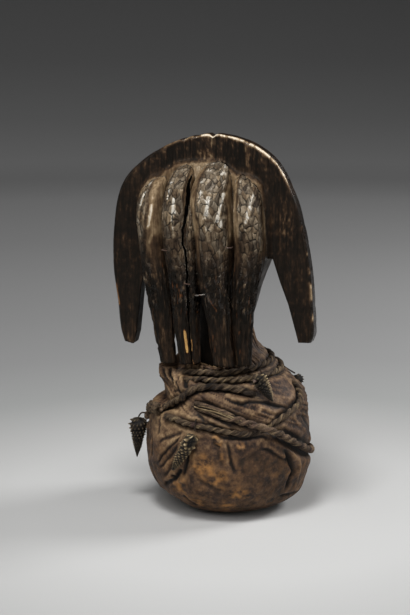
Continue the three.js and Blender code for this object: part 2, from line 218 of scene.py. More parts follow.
def rough(places: Array, seed: int, layers: int = 3) -> Array:
    """Random relief: the sum of swells, each half as wide and half as high as the last.

    Args:
        places: where to read, in widths of the widest swell.
        seed: which set of waves.
        layers: how many swells are added.

    Returns:
        Values mostly from -1 to 1.
    """
    total = np.zeros(places.shape[:-1])
    for layer in range(layers):
        total += swell(places * 2.0**layer, seed + 17 * layer) * 0.5**layer
    return total / 1.6


@dataclass(frozen=True)
class Cells:
    """Random cells over a surface, like dried mud or scales.

    Attributes:
        border: distance to the nearest border between two cells, in cell widths.
        tag: a random number for each cell, from 0 to 1.
        aside: place within the cell, from its middle.
    """

    border: Array
    tag: Array
    aside: Array


def cells_at(places: Array, seed: int, loose: float = 0.85) -> Cells:
    """Cells round scattered middles: border = second nearest distance - nearest distance.

    Args:
        places: where to read, two coordinates in the last axis, in cell widths.
        seed: which set of cells.
        loose: how far the middles stray from a square lattice, 0 to 1.

    Returns:
        The cells at each place.
    """
    base = np.floor(places)
    nearest = np.full(places.shape[:-1], 9.0)
    second = nearest.copy()
    tag = np.zeros(places.shape[:-1])
    aside = np.zeros(places.shape)
    for step in [(i, j) for i in (-1, 0, 1) for j in (-1, 0, 1)]:
        cell = base + np.array(step)
        stray = stacked(lattice(cell, seed), lattice(cell, seed + 5))
        away = places - (cell + 0.5 + loose * (stray - 0.5))
        reach = np.linalg.norm(away, axis=-1)
        closer = reach < nearest
        second = np.where(closer, nearest, np.minimum(second, reach))
        nearest = np.where(closer, reach, nearest)
        tag = np.where(closer, lattice(cell, seed + 11), tag)
        aside = np.where(closer[..., None], away, aside)
    return Cells(border=second - nearest, tag=tag, aside=aside)


# Meshes.


def outward(points: Array) -> Array:
    """Unit normals of a closed grid, from the cross product of its two directions, turned outwards.

    Args:
        points: rows by columns by 3, closed round the columns.

    Returns:
        One normal a point.
    """
    around = np.roll(points, -1, axis=1) - np.roll(points, 1, axis=1)
    normals = unit(np.cross(around, np.gradient(points, axis=0)))
    facing = np.sum(normals * (points - points.mean(axis=1, keepdims=True)))
    return normals if facing > 0 else -normals


def mesh_of(name: str, vertices: Array, faces: list, paints: Optional[dict[str, Array]] = None) -> Piece:
    """Object from vertices in millimetres, smooth shaded and placed in metres.

    Args:
        name: the object's name.
        vertices: count by 3.
        faces: vertex numbers of each face.
        paints: name of each attribute to its values, count by 3 or 4.

    Returns:
        The new object, in the scene.
    """
    mesh = bpy.data.meshes.new(name)
    mesh.from_pydata((vertices * MM).tolist(), [], faces)
    mesh.update()
    for label, values in (paints or {}).items():
        colours = np.zeros((len(vertices), 4))
        colours[:, : values.shape[1]] = values
        mesh.attributes.new(label, "FLOAT_COLOR", "POINT").data.foreach_set("color", colours.ravel())
    mesh.polygons.foreach_set("use_smooth", np.ones(len(mesh.polygons), dtype=bool))
    made = bpy.data.objects.new(name, mesh)
    bpy.context.scene.collection.objects.link(made)
    return made


def quads_of(rows: int, columns: int) -> Array:
    """Vertex numbers of the quads between a grid's rows, wrapped round its columns."""
    row, column = np.meshgrid(np.arange(rows - 1) * columns, np.arange(columns), indexing="ij")
    beside = (column + 1) % columns
    return stacked(row + column, row + beside, row + columns + beside, row + columns + column).reshape(-1, 4)


def with_poles(grid: Array) -> Array:
    """A grid's values as one list, and after them the means of its first and last row, for its two poles."""
    return np.vstack([grid.reshape(-1, grid.shape[-1]), grid[0].mean(axis=0), grid[-1].mean(axis=0)])


def skin(name: str, points: Array, wear: Optional[Array] = None, bark: Optional[Array] = None) -> Piece:
    """Closed body from a grid: quads between rows, wrapped round, and a fan over each end row.

    Args:
        name: the object's name.
        points: rows by columns by 3, in millimetres.
        wear: rows by columns masks for rub, soot and gloss, which also carry painted highlight and painted shade, and
            a fourth one where the finish has it.
        bark: rows by columns by 3: place in the crust's cells, and how much crust there is, or fresh breaks below 0.

    Returns:
        The new object, its faces outwards.
    """
    rows, columns = points.shape[:2]
    quads, vertices = quads_of(rows, columns), with_poles(points)
    ring, last = np.arange(columns), (rows - 1) * columns
    after = (ring + 1) % columns
    fans = [stacked(after, ring, rows * columns), stacked(last + ring, last + after, rows * columns + 1)]
    corners = vertices[quads]
    spread = np.cross(corners[:, 1] - corners[:, 0], corners[:, 2] - corners[:, 0])
    volume = np.sum(spread * (corners.mean(axis=1) - vertices.mean(axis=0)))
    faces = [face for part in (quads, *fans) for face in part.tolist()]
    if volume < 0:
        faces = [face[::-1] for face in faces]
    none = np.zeros((rows, columns, 4))
    wear, bark = none if wear is None else np.clip(wear, 0.0, 1.0), none if bark is None else bark
    return mesh_of(name, vertices, faces, {"wear": with_poles(wear), "bark": with_poles(bark)})


def discard(body: Piece) -> None:
    """Remove an object and its mesh."""
    spent = body.data
    bpy.data.objects.remove(body)
    bpy.data.meshes.remove(spent)


def skins(name: str, grids: Sequence[tuple[Array, ...]]) -> Piece:
    """Several closed bodies as one object.

    Args:
        name: the object's name.
        grids: each body's places, masks and, where it has them, its places along the fibre.

    Returns:
        The new object.
    """
    first, *others = [skin(f"{name}_{number}", *grid) for number, grid in enumerate(grids)]
    bodies = bmesh.new()
    for body in (first, *others):
        bodies.from_mesh(body.data)
    bodies.to_mesh(first.data)
    bodies.free()
    for body in others:
        discard(body)
    first.name = first.data.name = name
    return first


def without_stray_faces(body: Piece) -> Piece:
    """Body without the flat double faces that a boolean can leave loose, so that it stays one closed skin.

    Args:
        body: the body.

    Returns:
        The same object.
    """
    body.data.validate(clean_customdata=False)
    faces = bmesh.new()
    faces.from_mesh(body.data)
    stray = [face for face in faces.faces if all(edge.is_boundary for edge in face.edges)]
    bmesh.ops.delete(faces, geom=stray, context="FACES")
    faces.to_mesh(body.data)
    faces.free()
    return body


class Join(Enum):
    """How one body is combined with another."""

    ADD = "UNION"
    CUT = "DIFFERENCE"


def combined(body: Piece, others: Sequence[Piece], how: Join) -> Piece:
    """Body with others added or cut away, all applied to its mesh.

    Args:
        body: the closed body to change.
        others: closed bodies, used up.
        how: whether they are added or cut.

    Returns:
        The same object with its new mesh.
    """
    for other in others:
        step = body.modifiers.new(how.name, "BOOLEAN")
        step.operation = how.value
        step.solver = "MANIFOLD"
        step.object = other
        graph = bpy.context.evaluated_depsgraph_get()
        mesh = bpy.data.meshes.new_from_object(body.evaluated_get(graph))
        body.modifiers.clear()
        spent = body.data
        body.data = mesh
        bpy.data.meshes.remove(spent)
        discard(other)
    body.data.name = body.name
    return body


def sweep(path: Array, radius: Array, sides: int) -> Array:
    """Rings along a path: path + radius (cos a, sin a) in a frame carried along it without turning.

    Args:
        path: rows by 3.
        radius: rows by sides, or rows by 1.
        sides: points in a ring.

    Returns:
        Grid of rows by sides by 3.
    """
    side, up = (across[:, None, :] for across in carried_frame(unit(np.gradient(path, axis=0))))
    angle = circle(sides)[:, None]
    return path[:, None, :] + radius[..., None] * (np.cos(angle) * side + np.sin(angle) * up)


def carried_frame(ahead: Array) -> tuple[Array, Array]:
    """Two directions across a path at each row, each the last row's one with the new heading taken out.

    Args:
        ahead: unit headings, rows by 3.

    Returns:
        The side and up directions, rows by 3 each.
    """
    side = np.zeros_like(ahead)
    start = np.cross(ahead[0], [0.0, 0.0, 1.0])
    if np.linalg.norm(start) < 1e-3:
        start = np.cross(ahead[0], [1.0, 0.0, 0.0])
    side[0] = unit(start)
    for row in range(1, len(ahead)):
        side[row] = unit(side[row - 1] - ahead[row] * np.dot(side[row - 1], ahead[row]))
    return side, np.cross(ahead, side)


# Finishes.


def linear(code: str) -> tuple[float, float, float, float]:
    """Linear colour of an sRGB hex code: c / 12.92 for dark values, else ((c + 0.055) / 1.055)^2.4.

    Args:
        code: six hex digits.

    Returns:
        Red, green, blue and alpha.
    """
    parts = [int(code[i : i + 2], 16) / 255.0 for i in (0, 2, 4)]
    red, green, blue = (c / 12.92 if c <= 0.04045 else ((c + 0.055) / 1.055) ** 2.4 for c in parts)
    return red, green, blue, 1.0


def feed(tree: Tree, node: Node, inputs: dict) -> None:
    """Link or set a node's inputs.

    Args:
        tree: the material's node tree.
        node: the node.
        inputs: input socket name or number to the socket that feeds it, to a node that feeds it from its first live
            socket, or to its value.
    """
    for key, value in inputs.items():
        if isinstance(value, Node):
            value = next(socket for socket in value.outputs if socket.enabled)
        if isinstance(value, Socket):
            tree.links.new(value, node.inputs[key])
        else:
            node.inputs[key].default_value = value


def add_node(tree: Tree, kind: str, inputs: Optional[dict] = None, **settings: Union[str, bool]) -> Node:
    """New shader node with its settings and links.

    Args:
        tree: the material's node tree.
        kind: the node's type name without ShaderNode.
        inputs: what feeds its inputs, as feed takes it.
        settings: properties of the node.

    Returns:
        The node.
    """
    made = tree.nodes.new("ShaderNode" + kind)
    for key, value in settings.items():
        setattr(made, key, value)
    feed(tree, made, inputs or {})
    return made


def new_material(name: str) -> tuple[bpy.types.Material, Tree, Callable[..., Node], Socket]:
    """New material with a name.

    Args:
        name: the real finish.

    Returns:
        The material, its nodes, add_node for them, and the socket that gives Object coordinates.
    """
    material = bpy.data.materials.new(name)
    material.use_nodes = True
    add = partial(add_node, material.node_tree)
    return material, material.node_tree, add, add("TexCoord").outputs["Object"]


def ramp_of(node: Node, stops: Sequence[tuple[float, str]]) -> Node:
    """Fill a colour ramp node with stops.

    Args:
        node: the colour ramp.
        stops: position from 0 to 1 and hex colour of each stop.

    Returns:
        The same node.
    """
    elements = node.color_ramp.elements
    while len(elements) < len(stops):
        elements.new(0.5)
    for element, (position, code) in zip(elements, stops):
        element.position = position
        element.color = linear(code)
    return node


@dataclass(frozen=True)
class CarvedWood:
    """Dense hardwood carved with an adze, blackened by smoke and palm oil and rubbed bright by hands.

    To the eye it is near black and half glossy, with dark furrows along the grain. The hair's crust has dried into
    small grey pillows with black cracks between them, some greyed further as a painted sheen, and its sides are rubbed
    to a dull tan.
    The paint wear gives rub and painted highlights in red, soot and painted shade in green, gloss in blue and furrows
    in alpha. The paint bark gives the place among the crust's cells in red and green, and in blue how much crust there
    is, or under 0 a fresh break.

    Attributes:
        stops: colours from untouched to fully rubbed wood, whose palest end also paints the highlight strokes.
        crust: colours of the crust, from dark to rubbed, mixed in by cell so that they also paint the grey sheen of
            glossy cells.
        soot: colour in the cracks, and of the painted shade inside the split.
        fresh: colours of a fresh break, from shallow to deep.
        fibre: width of a grain streak in millimetres.
        furrow: width of an adze furrow in millimetres.
    """

    stops: Stops = (
        (0.0, "0a0705"), (0.18, "1b120c"), (0.36, "37271a"), (0.54, "5b4733"), (0.7, "806b50"), (0.84, "a58e70"),
        (1.0, "dccfba"),
    )
    crust: Stops = (
        (0.0, "0b0907"), (0.3, "1f1813"), (0.55, "41382f"), (0.78, "6f6557"), (0.92, "988d7d"), (1.0, "cfcac0")
    )
    soot: str = "050302"
    fresh: Stops = ((0.0, "6b3d20"), (0.35, "8a5630"), (0.7, "c99c5c"), (1.0, "d8b070"))
    fibre: float = 1.1
    furrow: float = 2.6

    def bark_height(self, add: Callable[..., Node], place: Socket, bark: Node, cover: Node) -> tuple[Node, ...]:
        """Random cells in the crust: a crack where the border is near, and a dome inside it.

        Args:
            add: add_node for the material.
            place: Object coordinates.
            bark: the node that reads the paint bark.
            cover: how much crust there is.

        Returns:
            Nodes for the crack, the dome and the cell's own random numbers.
        """
        wander = add("TexNoise", {"Vector": place, "Scale": 150.0, "Detail": 3.0})
        bent = add(
            "VectorMath", {0: wander.outputs["Color"], 1: (1.25, 1.0, 0.0), 2: bark.outputs["Vector"]},
            operation="MULTIPLY_ADD",
        )
        border = add(
            "TexVoronoi", {"Vector": bent, "Scale": 1.0, "Randomness": 0.95}, voronoi_dimensions="2D",
            feature="DISTANCE_TO_EDGE",
        )
        cells = add("TexVoronoi", {"Vector": bent, "Scale": 1.0, "Randomness": 0.95}, voronoi_dimensions="2D")
        tags = add("SeparateColor", {"Color": cells.outputs["Color"]})
        line = add("MapRange", {"Value": border, "From Min": 0.02, "From Max": 0.14, "To Min": 1.0, "To Max": 0.0})
        open_here = add("MapRange", {"Value": wander, "From Min": 0.38, "From Max": 0.58, "To Min": 0.12})
        shown = add("Math", {0: line, 1: open_here}, operation="MULTIPLY")
        crack = add("Math", {0: shown, 1: cover}, operation="MULTIPLY")
        swell_up = add("MapRange", {"Value": border, "From Max": 0.34}, interpolation_type="SMOOTHSTEP")
        dome = add("Math", {0: swell_up, 1: cover}, operation="MULTIPLY")
        return crack, dome, tags

    def material(self) -> bpy.types.Material:
        """The finish as a material.

        Returns:
            The material named smoke_blackened_carved_hardwood.
        """
        material, tree, add, place = new_material("smoke_blackened_carved_hardwood")
        wear = add("Attribute", attribute_name="wear")
        masks = add("SeparateColor", {"Color": wear})
        bark = add("Attribute", attribute_name="bark")
        spots = add("SeparateColor", {"Color": bark})
        cover = add("MapRange", {"Value": spots.outputs["Blue"]})
        fresh = add("MapRange", {"Value": spots.outputs["Blue"], "From Max": -1.0})
        crack, dome, tags = self.bark_height(add, place, bark, cover)
        along = add("Mapping", {"Vector": place, "Scale": (1.0, 1.0, 0.09)})
        streaks = add(
            "TexNoise", {"Vector": along, "Scale": 1000.0 / (self.fibre * 2.2), "Detail": 5.0, "Roughness": 0.65}
        )
        drawn = add("Mapping", {"Vector": place, "Scale": (1.0, 1.0, 0.05)})
        cuts = add(
            "TexNoise", {"Vector": drawn, "Scale": 1000.0 / (self.furrow * 2.0), "Detail": 3.0, "Roughness": 0.5}
        )
        sunk = add("MapRange", {"Value": cuts, "From Min": 0.53, "From Max": 0.40})
        furrows = add("Math", {0: sunk, 1: wear.outputs["Alpha"]}, operation="MULTIPLY")
        blotches = add("TexNoise", {"Vector": place, "Scale": 120.0, "Detail": 5.0, "Roughness": 0.6})
        mixed = add("Math", {0: streaks, 1: blotches}, operation="ADD")
        shift = add("Math", {0: mixed, 1: 0.62, 2: -0.62}, operation="MULTIPLY_ADD")
        rubbed = add("Math", {0: masks.outputs["Red"], 1: shift}, operation="ADD")
        ridge_light = add("Math", {0: furrows, 1: -0.16, 2: rubbed}, operation="MULTIPLY_ADD")
        own = add("Math", {0: tags.outputs["Red"], 1: cover}, operation="MULTIPLY")
        toned = add("Math", {0: own, 1: 0.26, 2: ridge_light}, operation="MULTIPLY_ADD", use_clamp=True)
        colours = ramp_of(add("ValToRGB", {"Fac": toned}), self.stops)
        # The crust's greys are mixed in by a random share for each cell. Besides the cells' colour, they paint the
        # grey sheen of glossy cells.
        sheen_greys = ramp_of(add("ValToRGB", {"Fac": toned}), self.crust)
        sheen_amount = add("MapRange", {"Value": tags.outputs["Green"], "To Min": 0.35})
        grey = add("Math", {0: cover, 1: sheen_amount}, operation="MULTIPLY")
        crusted = add("Mix", {0: grey, 6: colours, 7: sheen_greys}, data_type="RGBA")
        dark = add("Math", {0: masks.outputs["Green"], 1: crack}, operation="MAXIMUM")
        darker = add("Math", {0: furrows, 1: 0.75, 2: dark}, operation="MULTIPLY_ADD", use_clamp=True)
        blackened = add("Mix", {0: darker, 6: crusted, 7: linear(self.soot)}, data_type="RGBA")
        splinters = ramp_of(add("ValToRGB", {"Fac": fresh}), self.fresh)
        open_grain = add("MapRange", {"Value": fresh, "From Max": 0.7})
        broken = add("Mix", {0: open_grain, 6: blackened, 7: splinters}, data_type="RGBA")
        shine = add("Math", {0: blotches, 1: 0.9, 2: -0.45}, operation="MULTIPLY_ADD")
        gloss = add("Math", {0: masks.outputs["Blue"], 1: shine}, operation="ADD")
        glossy = add("Math", {0: own, 1: 0.42, 2: gloss}, operation="MULTIPLY_ADD")
        roughness = add("MapRange", {"Value": glossy, "To Min": 0.85, "To Max": 0.17})
        glaze = add("MapRange", {"Value": glossy, "From Min": 0.75, "From Max": 1.15, "To Max": 0.8})
        clean = add("Math", {0: 1.0, 1: darker}, operation="SUBTRACT")
        glazed = add("Math", {0: glaze, 1: clean}, operation="MULTIPLY")
        pillows = add("Bump", {"Height": dome, "Strength": 0.7, "Distance": 0.00075})
        pores = add("TexNoise", {"Vector": along, "Scale": 900.0, "Detail": 3.0})
        relief = add("Math", {0: pores, 1: 0.6, 2: streaks}, operation="MULTIPLY_ADD")
        cut_in = add("Math", {0: furrows, 1: -1.1, 2: relief}, operation="MULTIPLY_ADD")
        bump = add("Bump", {"Height": cut_in, "Normal": pillows, "Strength": 0.65, "Distance": 0.0008})
        feed(
            tree, tree.nodes["Principled BSDF"],
            {
                "Base Color": broken, "Roughness": roughness, "Normal": bump, "Coat Weight": glazed,
                "Coat Normal": bump, "Coat Roughness": 0.2, "IOR": 1.48, "Specular IOR Level": 0.28,
                "Specular Tint": linear("ebe0d0"),
            },
        )
        return material


@dataclass(frozen=True)
class Worn:
    """An aged natural surface whose paint wear gives rub and painted highlight in red, soot and painted shade in
    green, gloss in blue and warmth in alpha.

    Attributes:
        name: what it is and how it was made.
        stops: colours from untouched to fully rubbed.
        soot: colour in its cracks, and of its painted shade.
        warm: colour of its warm patches.
        grain: size of its grain in millimetres.
        relief: height of its grain in millimetres.
        patch: size of its patches in millimetres.
        rough: roughness where dull and where glossy.
        mottle: how much noise moves it along its colours.
        drawn: whether its grain follows the paint bark, which holds places in metres drawn out along a fibre.
    """

    name: str
    stops: Stops
    soot: str
    warm: str
    grain: float
    relief: float
    patch: float
    rough: tuple[float, float]
    mottle: float
    drawn: bool = False

    def material(self) -> bpy.types.Material:
        """The finish as a material.

        Returns:
            The material, named for what it is.
        """
        material, tree, add, place = new_material(self.name)
        wear = add("Attribute", attribute_name="wear")
        masks = add("SeparateColor", {"Color": wear})
        strands = add("Attribute", attribute_name="bark")
        where = strands.outputs["Vector"] if self.drawn else place
        grain = add("TexNoise", {"Vector": where, "Scale": 1000.0 / self.grain, "Detail": 5.0, "Roughness": 0.65})
        patches = add("TexNoise", {"Vector": place, "Scale": 1000.0 / self.patch, "Detail": 6.0, "Roughness": 0.62})
        mixed = add("Math", {0: grain, 1: patches}, operation="ADD")
        shift = add("Math", {0: mixed, 1: self.mottle, 2: -self.mottle}, operation="MULTIPLY_ADD")
        rubbed = add("Math", {0: masks.outputs["Red"], 1: shift}, operation="ADD", use_clamp=True)
        colours = ramp_of(add("ValToRGB", {"Fac": rubbed}), self.stops)
        spotty = add("MapRange", {"Value": patches, "From Min": 0.36, "From Max": 0.62, "To Max": 0.95})
        warmth = add("Math", {0: spotty, 1: wear.outputs["Alpha"]}, operation="MULTIPLY")
        warmed = add("Mix", {0: warmth, 6: colours, 7: linear(self.warm)}, data_type="RGBA")
        blackened = add("Mix", {0: masks.outputs["Green"], 6: warmed, 7: linear(self.soot)}, data_type="RGBA")
        dull, glossy = self.rough
        roughness = add("MapRange", {"Value": masks.outputs["Blue"], "To Min": dull, "To Max": glossy})
        bump = add("Bump", {"Height": mixed, "Strength": 0.8, "Distance": self.relief * MM * 2})
        feed(
            tree, tree.nodes["Principled BSDF"],
            {"Base Color": blackened, "Roughness": roughness, "Specular IOR Level": 0.35, "Normal": bump},
        )
        return material


# Hide tanned by smoke and handling: a half-matt skin, dusty grey-brown where it is rubbed, red-brown underneath,
# with orange patches where its surface has gone.
SMOKED_HIDE = Worn(
    name="smoked_hide_stretched_and_dried",
    stops=((0.0, "17100a"), (0.25, "31221a"), (0.5, "5c4430"), (0.75, "84694c"), (1.0, "aa8d68")), soot="0d0805",
    warm="ad7a42", grain=2.0, relief=0.4, patch=9.0, rough=(0.85, 0.5), mottle=0.68,
)

# Bast fibre rolled by hand into two strands: dry and matt, dusty tan on its crowns, dark between the strands.
ROLLED_BAST = Worn(
    name="hand_rolled_bast_rope",
    stops=((0.0, "160f0a"), (0.3, "382b20"), (0.6, "665440"), (0.85, "94805f"), (1.0, "b09a78")), soot="0c0806",
    warm="6e4646", grain=0.9, relief=0.3, patch=7.0, rough=(0.95, 0.75), mottle=1.0, drawn=True,
)

# Weathered calcite shell: chalky grey on its knobs, brown dirt in its grooves, and painted shade in its mouth and on
# its side away from the light.
WEATHERED_SHELL = Worn(
    name="weathered_spired_shell",
    stops=((0.0, "120e0a"), (0.3, "2c241c"), (0.6, "66573f"), (0.85, "98835f"), (1.0, "b8a684")), soot="080605",
    warm="c9aaa0", grain=0.8, relief=0.2, patch=5.0, rough=(0.85, 0.55), mottle=0.7,
)


@dataclass(frozen=True)
class RustedIron:
    """Thin drawn iron wire, rusted brown and rubbed to bare grey on its bends, so it glints here and there.

    Attributes:
        metal: colour of the bare wire.
        rust: colour of its rust.
        spot: size of a rust spot in millimetres.
        bare: how far the bare patches reach, 0.5 for half of it.
    """

    metal: str = "b9b4ac"
    rust: str = "4a3428"
    spot: float = 1.6
    bare: float = 0.5

    def material(self) -> bpy.types.Material:
        """The finish as a material.

        Returns:
            The material named rusted_drawn_iron_wire.
        """
        material, tree, add, place = new_material("rusted_drawn_iron_wire")
        spots = add("TexNoise", {"Vector": place, "Scale": 1000.0 / self.spot, "Detail": 4.0})
        bare = add("MapRange", {"Value": spots, "From Min": 0.92 - self.bare, "From Max": 1.08 - self.bare})
        colour = add("Mix", {0: bare, 6: linear(self.rust), 7: linear(self.metal)}, data_type="RGBA")
        roughness = add("MapRange", {"Value": bare, "To Min": 0.85, "To Max": 0.35})
        bump = add("Bump", {"Height": spots, "Strength": 0.5, "Distance": 0.0002})
        feed(
            tree, tree.nodes["Principled BSDF"],
            {"Base Color": colour, "Metallic": bare, "Roughness": roughness, "Normal": bump},
        )
        return material


# The carved head.


@dataclass(frozen=True)
class Tress:
    """One hanging tress of the carved hair.

    Attributes:
        rows: height, middle across and half width, from the cut foot to the top.
        out: how far it stands out behind the head, at its fullest.
        lean: how much its top drops to one side.
        crust: from where to where round it the crust runs, in millimetres across, + towards +X.
        seed: which random relief it has.
        dull: how much duller its top is than the others'.
    """

    rows: Rows
    out: float
    lean: float
    crust: tuple[float, float]
    seed: int
    dull: float = 0.0


TRESSES = (
    Tress(
        rows=(
            (153, 41.3, 7.8), (176, 44, 9.3), (193, 45.4, 10.8), (229, 49.5, 13), (262, 55.5, 13.5), (312, 58.5, 14),
            (338, 53, 12),
        ),
        out=62, lean=0.5, crust=(1, 32), seed=11,
    ),
    Tress(
        rows=(
            (155, 20.5, 7), (177, 23.2, 7.4), (193, 24.4, 8.9), (231, 24, 12.3), (277, 28, 16), (320, 29.5, 14.5),
            (351, 26, 12),
        ),
        out=69, lean=0.25, crust=(-13, 32), seed=23, dull=0.13,
    ),
    Tress(
        rows=(
            (155, -18, 11.1), (179, -15, 11.4), (204, -12.4, 12.5), (232, -9, 15), (279, -6.5, 19), (320, -3, 20),
            (354, -6, 15),
        ),
        out=70, lean=0, crust=(-25, 10), seed=37,
    ),
    Tress(
        rows=(
            (155, -36.3, 7.1), (182, -35, 8.8), (198, -35.3, 10.1), (219, -36.2, 11.5), (260, -41, 14),
            (300, -40, 14.5), (341, -36, 12),
        ),
        out=63, lean=-0.4, crust=(-27, 7), seed=53, dull=0.1,
    ),
)

# The strip between the split in the second tress and the third one.
STRIP = Tress(
    rows=(
        (155, 12.4, 3.4), (195, 12.6, 4), (225, 12, 4.8), (250, 12.6, 5.4), (275, 13, 5.8), (300, 13, 5), (322, 13, 3)
    ),
    out=67, lean=0, crust=(-30, 30), seed=71,
)


@dataclass
class CarvedHead:
    """The head with its crest, tresses, face and neck, carved from one block of dark wood.

    Attributes:
        crest_front: Y of the crest's face on the face side.
        crest_back: Y of the crest's face on the tress side.
        arch: X and Z along the crest's outer edge, from the -X lobe's foot to the +X lobe's.
        inner: X and Z along the lobes' inner sides, in the same order.
        lobe_top: height at which the lobes go over into the arch.
        widest: height at which the tresses are fullest.
        neck_radius: radius of the neck.
        neck_rows: height of the neck's foot and top.
        face_rows: height, half width, front and back of the head from chin to crown.
        nose_rows: height, front and half width of the nose.
        tops: X and Z along the tresses' tops, where the crest's face is cut in.
        split: height, X and width of the split in the second tress.
        highlight_strokes: X and Z at both ends of a painted highlight stroke, pale and glossy, its width and its
            strength.
        slivers: the same of a fresh break in pale wood.
    """

    crest_front: float = 18.0
    crest_back: float = 34.0
    arch: Rows = (
        (-100.5, 179), (-103, 188), (-102, 210), (-99, 246), (-93.5, 279), (-90, 294), (-84.5, 314), (-79, 327),
        (-71, 344), (-60, 358), (-46, 368), (-34, 373.5), (-20, 377.5), (-4, 379.5), (10, 379), (24, 376), (37, 371.5),
        (50, 365.5), (62, 358.5), (74, 349.5), (85, 339), (92.5, 328), (97.5, 314), (100.5, 297), (103, 268),
        (102.5, 240), (98.5, 210), (96, 184), (92, 169),
    )
    inner: Rows = (
        (-88, 178.5), (-86, 186), (-77.5, 216), (-69, 238), (-61, 262), (62, 262), (70, 238), (74, 226), (79, 178),
        (82, 167),
    )
    lobe_top: float = 262.0
    widest: float = 284.0
    neck_radius: float = 28.0
    neck_rows: tuple[float, float] = (106.4, 232.0)
    face_rows: Rows = (
        (170, 8, -62, -44), (175, 13, -70, -38), (184, 18, -76, -24), (198, 24, -78, -6), (223, 34, -77, 28),
        (246, 44, -80, 42), (268, 53, -84, 46), (292, 57.5, -88, 46), (316, 56, -87, 44), (336, 48, -75, 40),
        (350, 34, -53, 30), (358, 18, -26, 14), (361, 4, -6, 4),
    )
    nose_rows: Rows = ((223, -91.5, 10), (245, -89.5, 7.5), (270, -87.5, 5), (288, -87, 4))
    tops: Rows = (
        (76, 316), (70, 326.5), (64, 334.5), (58, 338), (52, 339), (47, 344), (43, 346), (38, 349.5), (34, 351.5),
        (26, 353), (18, 354), (0, 354.8), (-10, 353.8), (-16, 350.5), (-20, 347), (-27, 342.5), (-38, 341.3),
        (-46, 338), (-51, 333), (-53, 327),
    )
    split: Rows = (
        (156, 14.6, 1.2), (169, 15.4, 1.8), (195, 16.3, 1.6), (220, 16.2, 1.5), (237, 16.5, 1.7), (250, 16.4, 1.3),
        (267, 17.4, 1.3), (280, 20.0, 1.2), (293, 18.9, 1.5), (306, 17.4, 2.0), (317, 17.0, 2.3), (332, 17.3, 2.2),
        (341, 16.3, 1.6), (347, 13.5, 0.5),
    )
    highlight_strokes: Rows = (
        (53.5, 311.3, 55.9, 291.4, 1.9, 1.0), (62.9, 323.0, 65.6, 311.2, 1.5, 0.7),
        (53.0, 281.7, 55.1, 275.7, 1.8, 0.35), (35.0, 333.6, 35.5, 318.4, 1.6, 0.6),
        (28.6, 319.7, 29.3, 296.5, 2.4, 0.62), (29.6, 293.4, 28.1, 283.8, 2.2, 0.5),
        (-5.9, 322.0, -4.1, 302.9, 2.6, 0.9), (-19.7, 344.6, -25.4, 332.2, 2.8, 0.85),
        (-18.6, 324.6, -15.1, 299.5, 2.2, 0.85), (-4.8, 295.1, -7.0, 281.5, 2.0, 0.5),
        (-20.7, 303.4, -16.8, 293.6, 2.4, 0.6), (-47.8, 328.2, -42.5, 299.5, 2.6, 0.62),
        (-40.5, 295.5, -43.3, 283.9, 2.2, 0.5), (-33.6, 315.4, -35.1, 285.3, 1.6, 0.45),
        (-54.1, 328.2, -52.8, 309.2, 1.6, 0.4),
    )
    slivers: Rows = (
        (20.2, 189.0, 18.2, 167.0, 1.5, 0.85), (13.9, 180.0, 13.5, 168.0, 0.9, 0.8),
        (14.0, 162.0, 12.0, 154.5, 0.9, 0.7), (-7.2, 222.0, -13.5, 211.5, 2.0, 0.22),
        (100.9, 226.0, 97.6, 207.0, 2.8, 0.62),
    )

    def tress_grid(self, tress: Tress, columns: int, rows: int) -> tuple[Array, Array, Array, Array]:
        """A tress's plain skin, with most of its columns on the side that shows.

        The outer depth follows sqrt(1 - rise^2.8) over its top, and its section is a rounded box:
        x = middle + width cos^0.85, y = middle depth + half depth sin^0.8.

        Args:
            tress: the tress.
            columns: points round it.
            rows: rings along it.

        Returns:
            Grid of places, the distance across it, the height, and the distance along its spine.
        """
        foot, top = tress.rows[0][0], tress.rows[-1][0]
        hidden = columns // 5
        turn = np.concatenate(
            [
                np.linspace(-0.25, np.pi + 0.25, columns - hidden, endpoint=False),
                np.linspace(np.pi + 0.25, 2 * np.pi - 0.25, hidden, endpoint=False),
            ],
        )
        along = np.linspace(0.0, 1.0, rows)
        turn, along = np.meshgrid(turn, along)
        height = foot + (top - foot) * np.sin(along * np.pi / 2)
        rise = np.clip((height - self.widest) / (top - self.widest), 0, 1)
        fall = np.clip((self.widest - height) / (self.widest - foot), 0, 1)
        root = self.crest_back
        rounded = np.sqrt(np.maximum(0.0, 1 - rise**2.8))
        outer = np.where(height > self.widest, root - 6 + (tress.out - root + 6) * rounded, tress.out - 12 * fall)
        inner = 22 + 17 * ramp(270, 232, height)
        width = through(tress.rows, height, 2) * np.sqrt(np.maximum(0.06, 1 - rise**9))
        aside = width * squared(np.cos(turn), 0.85)
        points = stacked(
            HEAD_X + through(tress.rows, height) + aside,
            (outer + inner) / 2 + (outer - inner) * squared(np.sin(turn), 0.8) / 2, height - tress.lean * rise * aside,
        )
        across = (np.pi / 2 - turn) * (width + 4.0 * np.sqrt(np.maximum(0.06, 1 - rise**9)))
        spine = points[:, (columns - hidden) // 2]
        walked = walk(spine)
        return points, across, height, np.repeat(walked[:, None], columns, axis=1)

    def tress_relief(self, tress: Tress, across: Array, height: Array, along: Array) -> tuple[Array, Array, Array]:
        """Adze facets, ridges and crust of a tress.

        Facets are random cells drawn out along it, each a plane tilted its own way: tilt . place. Lower down, ridges
        along the grain take over. Places in the crust's cells are distances divided by the cells' size, which is
        small and round at the top and long and narrow below.

        Args:
            tress: the tress.
            across: distance round it.
            height: height of each place.
            along: distance along its spine.

        Returns:
            Relief along the skin's normal, the masks for rub, soot, gloss and furrows, and the crust's paint.
        """

        def noise(wide: float, long: float, seed: int) -> Array:
            """Random relief drawn out along the tress."""
            return rough(stacked(across / wide, height / long), tress.seed + seed)

